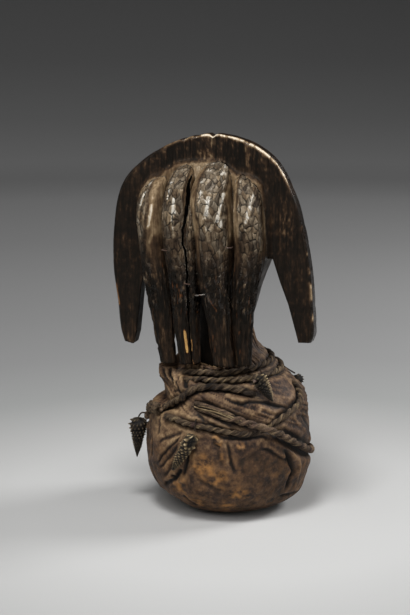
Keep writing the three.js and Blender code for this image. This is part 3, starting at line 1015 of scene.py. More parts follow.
        length = np.interp(height, [150, 190, 215, 245, 285, 315, 345], [20, 10, 6.8, 7.2, 9.5, 7.4, 5.6])
        warped = np.cumsum(np.gradient(along, axis=0) / length, axis=0)
        pitch = np.interp(height, [150, 230, 290, 350], [2.9, 3.1, 5.2, 4.8])
        low, high = tress.crust
        stray = 3.0 * swell(stacked(across / 9, height / 14), tress.seed + 4)
        crust = ramp(low - 3.5, low + 3.5, across + stray) * ramp(high + 3, high - 3, across + stray)
        below = ramp(268, 232, height + stray)
        wide = cells_at(stacked(across / 8.0, height / 22.0), tress.seed + 40)
        small = cells_at(stacked(across / 4.4, height / 11.0), tress.seed + 45)
        facet = 5.2 * (wide.tag - 0.5) * wide.aside[..., 0] + 2.6 * (wide.tag * 5 % 1 - 0.5) * wide.aside[..., 1]
        chips = 2.4 * (small.tag - 0.5) * small.aside[..., 0] + 1.6 * (small.tag * 5 % 1 - 0.5) * small.aside[..., 1]
        grain = noise(2.6, 30, 60)
        lumps = noise(5, 9, 70)
        foot = ramp(215, 195, height)
        relief = 0.62 * facet * crust + 0.5 * chips * crust * (0.5 + below) * (1 - foot) + 0.55 * grain * (0.3 + below)
        relief += 0.55 * lumps * below * (1 - foot)
        ridges = 1 - np.abs(rough(stacked(across / 2.0 + 0.4 * lumps, height / 16), tress.seed + 62))
        relief += 0.7 * below * (ramp(0.45, 1.0, ridges) - 0.5)
        dusty = noise(6, 13, 80)
        fine = noise(1.8, 6, 85)
        spots = cells_at(stacked(across / 2.9, height / 5.2), tress.seed + 95)
        bark_zone = below * (1 - foot) * (0.3 + 0.7 * crust)
        relief += 0.7 * bark_zone * (ramp(0.0, 0.45, spots.border) - 0.5)
        upper = ramp(226, 300, height + 12 * dusty)
        side = (1 - crust) * (0.55 * ramp(222, 275, height + 16 * dusty) + 0.45 * ramp(262, 300, height + 12 * dusty))
        rub = np.maximum((0.5 + 0.16 * dusty) * upper * crust, side * (0.64 + 0.16 * dusty))
        rub += crust * (0.1 * ramp(318, 338, height) - tress.dull * ramp(306, 322, height))
        rub = rub + 0.2 * (1 - upper) * ramp(-0.1, 0.7, fine + 0.4 * lumps) * (1 - foot) + 0.05
        rub -= 0.05 * below
        # Painted glints low on the tress: random small cells and the tops of the ridges are painted pale as glints of
        # the lights, and made glossier below.
        rub += bark_zone * (0.42 * ramp(0.6, 0.95, spots.tag) - 0.06) + 0.26 * below * ramp(0.7, 1.0, ridges) * ramp(
            -0.3, 0.5, fine
        )
        rub += foot * (0.12 + 0.22 * ramp(-0.2, 0.7, noise(2.2, 26, 90)))
        soot = 0.75 * below * ramp(0.15, -0.5, grain + 0.5 * lumps) * (1 - 0.7 * foot)
        gloss = crust * (0.42 + 0.4 * (wide.tag - 0.5) - 1.5 * tress.dull * ramp(306, 322, height)) + 0.2 * (1 - crust)
        gloss = gloss + bark_zone * (1.1 * ramp(0.45, 0.9, spots.tag * 7 % 1) - 0.2) + 0.3 * below * ramp(
            0.75, 1.0, ridges
        )
        soot = soot + 0.6 * bark_zone * ramp(0.2, 0.02, spots.border)
        furrows = 0.15 + 0.6 * below * (0.6 + 0.4 * foot)
        cover = (crust * (1 - 0.25 * ramp(250, 222, height)) + 0.5 * (1 - crust) * below) * (1 - 0.75 * foot)
        bare = 0.34 * ramp(0.35, 0.75, noise(2.4, 9, 97))
        bare *= ramp(268, 244, height) * ramp(-0.2, 0.5, noise(14, 30, 98))
        bark = stacked(across / pitch, warped, cover * (1 - ramp(0, 0.1, bare)) - bare)
        return relief, stacked(rub, soot, gloss, furrows), bark

    def tress_body(self, name: str, tress: Tress, columns: int = 64, rows: int = 150) -> Piece:
        """One tress as a closed body with its relief.

        Args:
            name: the object's name.
            tress: the tress.
            columns: points round it.
            rows: rings along it.

        Returns:
            The new object.
        """
        points, across, height, along = self.tress_grid(tress, columns, rows)
        relief, wear, bark = self.tress_relief(tress, across, height, along)
        shows = ramp(self.crest_back, self.crest_back + 6, points[..., 1])
        points = points + outward(points) * (relief * shows)[..., None]
        return skin(name, points, *self.broken(points, wear, bark))

    def broken(self, points: Array, wear: Array, bark: Array) -> tuple[Array, Array]:
        """Fresh breaks and painted highlight strokes: a stroke's mask falls from 1 on its line to 0 at its width.

        Args:
            points: the skin.
            wear: its masks, which change.
            bark: its crust's paint, which changes.

        Returns:
            The masks and the paint with the breaks and strokes in them.
        """
        across, depth, height = points[..., 0] - HEAD_X, points[..., 1], points[..., 2]
        spot = stacked(across, height)

        def reach(row: Sequence[float]) -> Array:
            """Distance to a stroke."""
            start, way = np.array(row[:2]), np.subtract(row[2:4], row[:2])
            share = np.clip(np.sum((spot - start) * way, -1) / np.sum(way**2), 0, 1)
            return np.linalg.norm(spot - start - share[..., None] * way, axis=-1)

        stray = 0.45 * rough(stacked(across / 1.6, height / 3.5), 93)
        for *line, width, strength in self.slivers:
            near = ramp(width, 0.4 * width, reach(line) + stray) * (depth > self.crest_back - 1)
            bark[..., 2] = bark[..., 2] * (1 - near) - strength * near
            wear[..., 1] *= 1 - near
            wear[..., 3] *= 1 - near
        stray = 1.1 * rough(stacked(across / 3, height / 5), 91)
        # Painted highlights: each stroke is painted near the palest wood colour and made glossy, where the lights
        # glint on the tresses.
        for *line, width, strength in self.highlight_strokes:
            near = strength * ramp(width, 0.35 * width, reach(line) + stray) * (depth > self.crest_back + 16)
            wear[..., 0] = wear[..., 0] * (1 - near) + 1.05 * near
            wear[..., 2] = np.maximum(wear[..., 2], near)
            wear[..., 1] *= 1 - near
        return wear, bark

    def crest_grid(self, columns: int) -> tuple[Array, Array, Array, Array, Array]:
        """The crest's plain skin: face, chamfer, rim, chamfer, face and inner wall, carried along the arch.

        Every section lies on the line from a place on the outer edge to its partner on the inner one:
        place = outer + (inner - outer) share. Rows crowd towards the rim.

        Args:
            columns: sections along the arch.

        Returns:
            Grids of X and Z, Y and the share, then the width of each section and its heading inwards.
        """
        outer = curve_through(self.arch, columns)
        walked = walk(outer)
        walked /= walked[-1]
        half = columns // 2
        first = walked[np.argmax(outer[:, 1] > self.lobe_top)]
        last = walked[half + np.argmax(outer[half:, 1] < self.lobe_top)]
        shares = [first * part for part in (0, 0.07, 0.5, 0.78, 1)]
        shares += [last + (1 - last) * part for part in (0, 0.22, 0.36, 0.93, 1)]
        inner = np.column_stack([np.interp(walked, shares, column) for column in zip(*self.inner)])
        width = np.linalg.norm(inner - outer, axis=1)[:, None]
        back, front = self.crest_back, self.crest_front
        chamfer = ((2.6, 0.0), (1.3, 0.45), (0.4, 1.2))
        face = width - chamfer[0][0]
        close = np.minimum(46.0, 0.75 * face)
        fine = np.hstack([close * np.linspace(0, 1, 34), close + (face - close) * np.linspace(0, 1, 9)[1:]])[:, :0:-1]
        coarse = face * (np.exp(3.0 * np.linspace(0, 1, 16)) - 1)[1:] / (math.exp(3.0) - 1)
        parts = [(width - face + fine, back)]
        parts += [(inset + 0 * width, back - drop) for inset, drop in chamfer]
        parts += [(np.zeros((columns, 7)), np.linspace(back - 2.4, front + 2.4, 7))]
        parts += [(inset + 0 * width, front + drop) for inset, drop in reversed(chamfer)]
        parts += [(width - face + coarse, front), (np.repeat(width, 3, axis=1), np.linspace(front, back, 5)[1:-1])]
        share = np.hstack([inset for inset, _ in parts]) / width
        depth = np.hstack([np.broadcast_to(deep, inset.shape) for inset, deep in parts])
        flat = outer[:, None, :] + (inner - outer)[:, None, :] * share[..., None]
        return flat, depth, share, width, (inner - outer) / width

    def crest_body(self, name: str, columns: int = 400) -> Piece:
        """The crest with its grain, its chipped and rubbed rim with a painted highlight, and the hollow over the
        tresses' tops.

        Args:
            name: the object's name.
            columns: sections along the arch.

        Returns:
            The new object.
        """
        flat, depth, share, width, inward = self.crest_grid(columns)
        back, front = self.crest_back, self.crest_front
        across, height = flat[..., 0], flat[..., 1]
        inset = share * width
        edge = 1 - ramp(1.0, 5.0, inset)
        grain = rough(stacked(across / 3.2, height / 40), 5, 2)
        strands = np.abs(swell(stacked(across / 6.0, height / 70), 9))
        upper = ramp(338, 358, height) * ramp(100, 62, np.abs(across - 6))
        face = -(0.3 + 1.0 * upper) * ramp(0.45, 0.1, strands) + 0.35 * grain
        face += 0.9 * swell(stacked(across / 24, height / 40), 14)
        face += 0.7 * ramp(0.0, 0.5, swell(stacked(across / 10, height / 60), 15))
        reach = height - np.interp(across, *zip(*sorted(self.tops)))
        between = ramp(-70, -58, -np.abs(across - 11))
        under = between * ramp(1.5, -4.0, reach) * ramp(-34, -16, reach)
        ledge = between * mound(reach - 1.5, 2.2)
        face += 6.5 * under + 0.15 * ledge
        notch = 2.6 * mound(across + 0.5, 2.4) + 1.1 * mound(across - 15, 4) + 1.0 * mound(across - 27, 3)
        chips = 0.6 * np.maximum(0, rough(stacked(across / 7, height / 7, depth / 6), 21))
        worn = (notch * ramp(330, 360, height) + chips) * edge
        tress_side = depth > (back + front) / 2
        towards_back = np.where(tress_side, 1.0, -1.0)
        lift = face * np.where(tress_side, 1.0, 0.4) * ramp(0.3, 4.0, inset) * ramp(0.995, 0.97, share)
        points = stacked(HEAD_X + across, depth + towards_back * lift, height)
        points[..., 0] += inward[..., 0][:, None] * worn
        points[..., 2] += inward[..., 1][:, None] * worn
        patch = rough(stacked(across / 16, height / 30), 31)
        speckle = rough(stacked(across / 5, height / 5, depth / 8), 33)
        rub = 0.1 + 0.14 * ramp(0.1, 0.8, patch) + 0.04 * upper
        rub = np.maximum(rub, under * (0.66 + 0.14 * patch)) + 0.16 * ledge
        # The rim's upper right is painted pale: rubbed wear, and a painted highlight where the light from the right
        # catches the chamfers.
        crown = ramp(322, 345, height) * ramp(58, 40, across) * (0.45 + 0.55 * ramp(20, 8, across))
        lit_edge = 0.85 * mound(depth - back + 1.2, 1.3) + 0.3 * mound(depth - front - 1, 1.4)
        rub += edge * crown * lit_edge * ramp(-0.75, 0.1, speckle) * 1.6
        lines = rough(stacked(across / 1.6, height / 3.4), 35)
        streaks = (0.1 + 0.2 * upper) * ramp(-0.25, 0.6, lines) + 0.14 * ramp(0.25, 0.7, lines)
        bald = ramp(1.1, 0.3, np.hypot((across + 74) / 11, (height - 297) / 27) + 0.3 * patch)
        rub += (streaks * (1 - under) + 0.26 * bald * ramp(-0.5, 0.5, lines)) * (1 - edge) * tress_side
        corner = mound(depth - back + 1.4, 1.5) * ramp(-84, -92, across)
        corner = corner * ramp(188, 205, height) * ramp(306, 285, height)
        rub += 0.8 * corner * edge * ramp(-0.2, 0.35, rough(stacked(across / 4, height / 9, depth / 8), 37))
        soot = (0.35 * ramp(0.4, 0.1, strands) * upper + 0.3 * ramp(0.0, 0.8, -grain)) * (1 - under) * (1 - 0.8 * edge)
        gloss = 0.34 + 0.45 * edge + 0.2 * grain
        furrows = (0.35 + 0.55 * upper) * (1 - under) * (1 - edge)
        cover = 0.3 * under * ramp(0.0, 0.5, patch + 0.2) * tress_side
        bark = stacked(across / 5.0, height / 5.5, cover)
        return skin(name, points, *self.broken(points, stacked(rub, soot, gloss, furrows), bark))

    def face_relief(self, across: Array, height: Array) -> Array:
        """How far the front of the head stands out or is cut in.

        A heart-shaped hollow under two brow arches, closed almond eyes, small lips, and hair from a raised edge up.

        Args:
            across: distance from the head's middle.
            height: height of each place.

        Returns:
            Relief in millimetres, + outwards.
        """
        aside = np.abs(across)
        brow = 296 - 0.016 * (aside - 25) ** 2
        cheek = 12 + 38 * ramp(190, 275, height)
        hollow = ramp(brow + 1, brow - 8, height) * ramp(cheek + 1, cheek - 8, aside) * ramp(190, 224, height)
        hair = ramp(321, 324, height + 0.004 * across * across)
        plaits = 0.5 * np.cos(across * 2 * np.pi / 5.5) * hair
        lid = np.clip(1 - ((aside - 24) / 15) ** 2 - ((height - 262 + 0.012 * (aside - 24) ** 2) / 7) ** 2, 0, 1)
        slit = mound(height - 260.5 + 0.016 * (aside - 24) ** 2, 0.9) * (lid > 0) * ramp(0, 0.3, lid)
        upper = np.clip(1 - (across / 16) ** 2 - ((height - 202.5 + 0.012 * across**2) / 4.6) ** 2, 0, 1)
        lower = np.clip(1 - (across / 13.5) ** 2 - ((height - 196 - 0.008 * across**2) / 4.6) ** 2, 0, 1)
        lips = 5.2 * np.sqrt(upper) + 4.8 * np.sqrt(lower)
        return 2.2 * hair + plaits - 8.5 * hollow + 5.5 * np.sqrt(lid) - 1.1 * slit + lips

    def skull_body(self, name: str, columns: int = 104, rows: int = 132) -> Piece:
        """The skull and face: an oval section at each height, x = half cos^0.92, y = depth sin^0.95, less relief.

        Args:
            name: the object's name.
            columns: points round it.
            rows: rings along it.

        Returns:
            The new object.
        """
        low, high = self.face_rows[0][0], self.face_rows[-1][0]
        turn, along = np.meshgrid(circle(columns), np.linspace(0, 1, rows))
        height = low + (high - low) * (0.5 - 0.5 * np.cos(np.pi * along)) ** 0.9
        drawn = turn + 0.35 * np.cos(turn)
        half, front, back = (through(self.face_rows, height, column) for column in (1, 2, 3))
        across = half * squared(np.cos(drawn), 0.92)
        ahead = ramp(0.05, 0.5, -np.sin(drawn))
        depth = (front + back) / 2 + (back - front) * squared(np.sin(drawn), 0.95) / 2
        depth = depth - self.face_relief(across, height) * ahead
        points = stacked(HEAD_X + across, depth, height)
        adze = cells_at(stacked(turn * half / 11, height / 13), 91)
        planes = (adze.tag - 0.5) * adze.aside[..., 0] + (adze.tag * 5 % 1 - 0.5) * adze.aside[..., 1]
        grain = rough(stacked(across / 3, depth / 3, height / 40), 93)
        points = points + outward(points) * (0.5 * planes + 0.12 * grain)[..., None]
        rub = 0.1 + 0.25 * ramp(0.1, 0.8, rough(points / 22.0, 95))
        soot = 0.2 + 0.5 * ramp(0.1, 0.9, rough(points / 9.0, 97)) * (1 - ahead)
        gloss = 0.45 + 0.35 * rough(points / 14.0, 99)
        return skin(name, points, stacked(rub, soot, gloss))

    def nose_body(self, name: str) -> Piece:
        """The nose: half an oval on the face at each height, from a broad tip to a narrow bridge.

        Args:
            name: the object's name.

        Returns:
            The new object.
        """
        turn, along = np.meshgrid(circle(32), np.linspace(0, 1, 48))
        low, high = self.nose_rows[0][0], self.nose_rows[-1][0]
        height = low + (high - low) * along
        floor = through(self.face_rows, height, 2) - self.face_relief(np.zeros_like(height), height)
        ridge, wide = (through(self.nose_rows, height, column) for column in (1, 2))
        tuck = 0.55 + 0.45 * np.sqrt(np.clip(along / 0.1, 0, 1))
        nostril = 1 + 0.18 * mound(along - 0.1, 0.09)
        out = tuck * np.maximum(0.5, floor - ridge)
        points = stacked(HEAD_X + tuck * nostril * wide * np.cos(turn), floor + 2 - (out + 2) * np.sin(turn), height)
        wear = stacked(np.full_like(height, 0.2), np.full_like(height, 0.2), np.full_like(height, 0.6))
        return skin(name, points, wear)

    def ear_body(self, name: str, side: int) -> Piece:
        """A small ear: a half-round pad with a scooped middle, before a lobe of the crest.

        Args:
            name: the object's name.
            side: 1 towards +X or -1 towards -X.

        Returns:
            The new object.
        """
        half = float(through(self.face_rows, np.array([266.0]))[0])
        turn = circle(40)
        base, reach = np.linspace(0, 1, 8), np.linspace(1, 0.04, 12)[1:]
        out = np.concatenate([half - 10 + base * 17, half + 7 - 3.4 * (1 - reach**2)])
        wide = np.concatenate([np.ones(8), reach])
        turn, wide = np.meshgrid(turn, wide)
        points = stacked(
            HEAD_X + side * np.repeat(out[:, None], 40, axis=1), -6 + wide * 7.5 * np.cos(turn),
            266 + wide * 13.5 * np.sin(turn),
        )
        wear = np.tile([0.2, 0.25, 0.5], (*wide.shape, 1))
        return skin(name, points, wear)

    def neck_body(self, name: str) -> Piece:
        """The neck: a round post with long adze marks.

        Args:
            name: the object's name.

        Returns:
            The new object.
        """
        foot, top = self.neck_rows
        turn, height = np.meshgrid(circle(72), np.linspace(foot, top, 60))
        marks = cells_at(stacked(turn * 72 / (2 * np.pi) / 7.2, height / 30), 61, 0.6)
        grain = rough(stacked(turn * 14, height / 30), 63)
        radius = self.neck_radius - 0.55 + 0.45 * (marks.tag - 0.5) * marks.aside[..., 0] + 0.18 * grain
        points = polar(radius, turn, height, HEAD_X)
        wear = stacked(0.1 + 0.1 * grain, 0.45 + 0.3 * grain, np.full_like(grain, 0.35))
        return skin(name, points, wear)

    def split_blade(self, name: str) -> Piece:
        """The split beside the second tress, as the wedge of wood that is gone: three-cornered at each height.

        Args:
            name: the object's name.

        Returns:
            The wedge.
        """
        height = np.linspace(self.split[0][0] - 4, self.split[-1][0], 90)
        middle = through(self.split, height) + 0.5 * swell(stacked(height / 5), 3)
        wide = through(self.split, height, 2) * (1 + 0.3 * swell(stacked(height / 4), 4))
        deep = 52 - 8 * ramp(290, 320, height) - 6 * ramp(200, 170, height)
        half = np.maximum(wide, 0.3) / 2
        corners = np.stack(
            [
                stacked(HEAD_X + middle - half * 1.6, np.full_like(height, 74), height),
                stacked(HEAD_X + middle + half * 1.6, np.full_like(height, 74), height),
                stacked(HEAD_X + middle + 0.8 * half, deep + 4, height), stacked(HEAD_X + middle, deep, height),
                stacked(HEAD_X + middle - 0.8 * half, deep + 4, height),
            ],
            axis=1,
        )
        # The wedge's masks paint the split's walls black: painted shade inside the split.
        return skin(name, corners, np.tile([0.0, 1.0, 0.0], (*corners.shape[:2], 1)))

    def build(self) -> Piece:
        """The whole carving, joined into one closed body.

        Returns:
            The object named carved_head.
        """
        head = self.crest_body("carved_head")
        others = [self.skull_body("skull"), self.neck_body("neck"), self.nose_body("nose")]
        others += [self.ear_body(f"ear_{side}", side) for side in (-1, 1)]
        others += [self.tress_body(f"tress_{tress.seed}", tress) for tress in TRESSES]
        others += [self.tress_body("strip", STRIP, 30)]
        combined(head, others, Join.ADD)
        combined(head, [self.split_blade("split")], Join.CUT)
        return without_stray_faces(head)


# The bundle.


@dataclass(frozen=True)
class Swelling:
    """A place where the hide's outline goes in or out.

    Attributes:
        turn: where it is round the bundle, in degrees from +X towards +Y.
        spread: degrees to each side at which it has mostly faded.
        size: radius it reaches, or how far it stands out.
        rise: heights over which it comes, going up.
        fall: heights over which it goes again, the upper one first: above the collar where it stays.
    """

    turn: float
    spread: float
    size: float
    rise: tuple[float, float]
    fall: tuple[float, float] = (185.0, 180.0)

    def share(self, turn: Array, height: Array) -> Array:
        """How much of it there is at a place: a soft bump over the angle, within its heights."""
        return mound(apart(turn, self.turn), self.spread) * ramp(*self.rise, height) * ramp(*self.fall, height)


@dataclass(frozen=True)
class HideForm:
    """The stuffed bundle's plain outline, which the ropes and shells lie on.

    Attributes:
        rows: height and radius from the ground to the collar's edge.
        top: height of the collar's edge before it sags or climbs.
        corner: the gathered corner that stands up.
        hollow: the drawn-in side below that corner.
        shoulder: the fuller side.
        low_fold: the fold near the ground below the fuller side.
        undercut: the rounder foot on the other side.
        tongue: the tongue of hide that stands against the neck.
        collar_from: height above which the hide is a collar.
        rear: turn at which the collar is lowest.
        drop: how far it sags there.
    """

    rows: Rows = (
        (0, 37), (2.5, 45.5), (8, 57.5), (18, 69.5), (34, 78.8), (56, 82.5), (85, 82), (105, 77), (122, 69.5),
        (135, 60), (145, 50), (155, 43), (160, 41), (166, 36), (171, 32.5),
    )
    top: float = 171.0
    corner: Swelling = Swelling(37, 20, 65, (121, 136), (155, 150))
    hollow: Swelling = Swelling(24, 42, 60, (103, 113), (171, 158))
    shoulder: Swelling = Swelling(190, 55, 9, (92, 118), (166, 146))
    low_fold: Swelling = Swelling(185, 40, 4.5, (0, 6), (30, 14))
    undercut: Swelling = Swelling(20, 45, -5, (0, 5), (22, 12))
    tongue: Swelling = Swelling(192, 11, 13, (163, 171))
    collar_from: float = 158.0
    rear: float = 95.0
    drop: float = 9.0

    def point(self, turn: Array, height: Array, reach: Array = 1.0) -> Array:
        """Place on the hide: the row's radius, drawn in or out at its swellings, and gathered by cos 11 turn.

        Above collar_from it climbs the neck, except behind it, where it lies flat and sags.

        Args:
            turn: degrees round the bundle.
            height: height before the collar sags or climbs.
            reach: share of the radius.

        Returns:
            Places in millimetres.
        """
        turn, height = np.broadcast_arrays(np.asarray(turn, float), np.asarray(height, float))
        angle = np.radians(turn)
        plain = through(self.rows, height)
        drawn = self.hollow.share(turn, height) * np.minimum(0, self.hollow.size - plain)
        corner = self.corner.share(turn, height) * np.maximum(0, self.corner.size - plain)
        full, low, under, tip = (
            swelling.size * swelling.share(turn, height)
            for swelling in (self.shoulder, self.low_fold, self.undercut, self.tongue)
        )
        gathers = 1.6 * np.cos(11 * angle) * ramp(112, 140, height) * ramp(self.top, 155, height)
        radius = reach * (plain + drawn + corner + full + low + under + gathers)
        behind = apart(turn, self.rear)
        climb = np.maximum(0, height - self.collar_from) * ramp(38, 62, behind)
        sag = self.drop * mound(behind, 50) * ramp(128, 160, height)
        level = np.minimum(height, self.collar_from) + climb + tip - sag
        return polar(radius, angle, level, HEAD_X * ramp(90, 146, height))

    def lifted(self, turn: Array, height: Array, lift: Array) -> Array:
        """Place off the hide along its own normal, the cross product of its two directions.

        Args:
            turn: degrees round the bundle.
            height: height on the bundle.
            lift: distance off the hide.

        Returns:
            Places in millimetres.
        """
        turn, height = np.asarray(turn, float), np.asarray(height, float)
        around = self.point(turn + 2, height) - self.point(turn - 2, height)
        up = self.point(turn, height + 2) - self.point(turn, height - 2)
        return self.point(turn, height) + unit(np.cross(around, up)) * np.asarray(lift, float)[..., None]


FORM = HideForm()


@dataclass(frozen=True)
class RopeRoute:
    """One rope's way over the hide.

    Attributes:
        name: the CAD node that it stands for.
        radius: half its thickness over both strands.
        rows: turn in degrees, height and, where it isn't 1.5 mm, lift off the hide.
        seed: which random relief it has.
        open_until: share of its length over which the strands run apart at its start.
        bound: share of its length at which dark thread is wound round it, and how far along, where there is any.
        frayed: where loose fibres start and end, as shares of its length, how many there are, and how far they stray.
        dusty: how much paler it is than the other ropes.
        ruddy: how much redder it is than the other ropes.
    """

    name: str
    radius: float
    rows: tuple[tuple[float, ...], ...]
    seed: int
    open_until: float = 0.0
    bound: tuple[float, float] = (0.0, 0.0)
    frayed: tuple[tuple[float, float, int, float], ...] = ()
    dusty: float = 0.0
    ruddy: float = 0.0

    def line(self, step: float = 1.2) -> Array:
        """The rope's middle at even steps: a smooth curve through its rows' places.

        Args:
            step: distance between places in millimetres.

        Returns:
            Rows by 3.
        """
        rows = [(*row, 1.5)[:3] for row in self.rows]
        knots = FORM.lifted(*(np.array(column, float) for column in zip(*rows)))
        rough_length = np.linalg.norm(np.diff(knots, axis=0), axis=1).sum()
        return curve_through(knots, int(rough_length / step))


ROPES = (
    RopeRoute(
        name="neck_rope", radius=3.4, seed=201,
        rows=(
            (58, 141.5, -5), (70, 142, -2.5), (82, 142.8, 0.5), (96, 142.8, 0.8), (110, 142.6, 1.2), (125, 142),
            (150, 141.5), (180, 142), (210, 143), (240, 144.5), (270, 145), (300, 145), (330, 145.5), (348, 146, 0),
            (366, 146.5, -5), (390, 147.5, -5.5), (414, 149, -4.5), (431, 149.8, 0.8), (446, 151.2), (458, 151.9),
            (480, 151.3), (498, 151), (517, 151.4), (540, 151.5), (570, 152), (600, 153), (630, 153.5), (660, 154),
            (690, 154),
        ),
    ),
    RopeRoute(
        name="shoulder_rope", radius=4.0, seed=211,
        rows=(
            (45, 106.5), (52, 112), (60, 117), (67, 121.3), (75, 127.7), (82.5, 132.3), (94, 135.2), (106, 135),
            (118, 132.6), (127, 130.6, 0), (134, 127, -4), (142, 121, -6.2), (152, 115, -6.2), (162, 113.5, -6.4),
            (174, 115, -6.4), (188, 116, -6.2), (202, 114.8, -6), (216, 113, -5.8), (230, 112, -5.6), (242, 111.5, -4),
            (254, 111, 0), (266, 110), (280, 108), (300, 105), (325, 101), (348, 97.5), (366, 97.2), (384, 99.5),
        ),
    ),
    RopeRoute(
        name="waist_rope", radius=3.3, seed=223, bound=(0.205, 7.0), frayed=((0.17, 0.27, 5, 2.6),),
        rows=(
            (54, 102.5), (67, 102), (75, 100.3), (89, 99), (103, 95.6), (117, 93, 0.3), (126, 93.2, -2.4),
            (134, 96.2, -3), (142, 100.6, -1.5), (153, 106.8), (163, 111.3), (171, 115.5), (178, 121), (183, 126, 0),
            (187, 129.5, -3),
        ),
    ),
    RopeRoute(
        name="belly_rope", radius=4.1, seed=227, open_until=0.09, frayed=((0.0, 0.15, 5, 3.0), (0.36, 0.40, 5, 3.0)),
        dusty=0.1, ruddy=0.5,
        rows=(
            (79, 117.5, -3), (86, 116.5, 0), (93, 115), (105, 110), (119, 103.2, 2), (127, 99.2, 4), (134, 95, 5.3),
            (145, 87.3, 2.5), (158, 76.7), (172, 66.5), (186, 59), (205, 54), (225, 53), (250, 55.5), (275, 60),
            (300, 67), (322, 75), (345, 82.5), (364, 87.3), (382, 91),
        ),
    ),
)


def distance_to(places: Array, line: Array, kept: float = 30.0) -> tuple[Array, Array]:
    """Distance from each place to the nearest place of a line, worked out in blocks of places.

    Args:
        places: grid of places.
        line: rows by 3.
        kept: distances are cut off here.

    Returns:
        The distance, and the nearest row's share of the line.
    """
    flat = places.reshape(-1, 3).astype(np.float32)
    line = line.astype(np.float32)
    reach = np.full(len(flat), kept, dtype=np.float32)
    share = np.zeros(len(flat), dtype=np.float32)
    low, high = line.min(axis=0) - kept, line.max(axis=0) + kept
    near = np.nonzero(np.all((flat > low) & (flat < high), axis=1))[0]
    for block in np.array_split(near, max(1, len(near) * len(line) // 4_000_000)):
        square = (
            np.sum(flat[block] ** 2, axis=1)[:, None] + np.sum(line**2, axis=1)[None, :] - 2 * flat[block] @ line.T
        )
        at = np.argmin(square, axis=1)
        reach[block] = np.sqrt(np.maximum(0, square[np.arange(len(block)), at]))
        share[block] = at / (len(line) - 1)
    return np.minimum(reach, kept).reshape(places.shape[:-1]), share.reshape(places.shape[:-1])


@dataclass(frozen=True)
class Fold:
    """A fold, crease, tear or flap's edge of the hide, along a line.

    Attributes:
        rows: turn in degrees and height along it.
        deep: depth of its crease in millimetres, or where negative how far it stands out as a ridge.
        narrow: half width of the crease or ridge.
        lap: how far the hide on its left side, walking along it outside the bundle, stands over the other side.
        rub: how pale its upper edge is painted, as colour worn off and as a painted highlight.
        warm: how much orange shows there.
    """

    rows: Rows
    deep: float = 1.4
    narrow: float = 1.5
    lap: float = 0.0
    rub: float = 0.3
    warm: float = 0.0


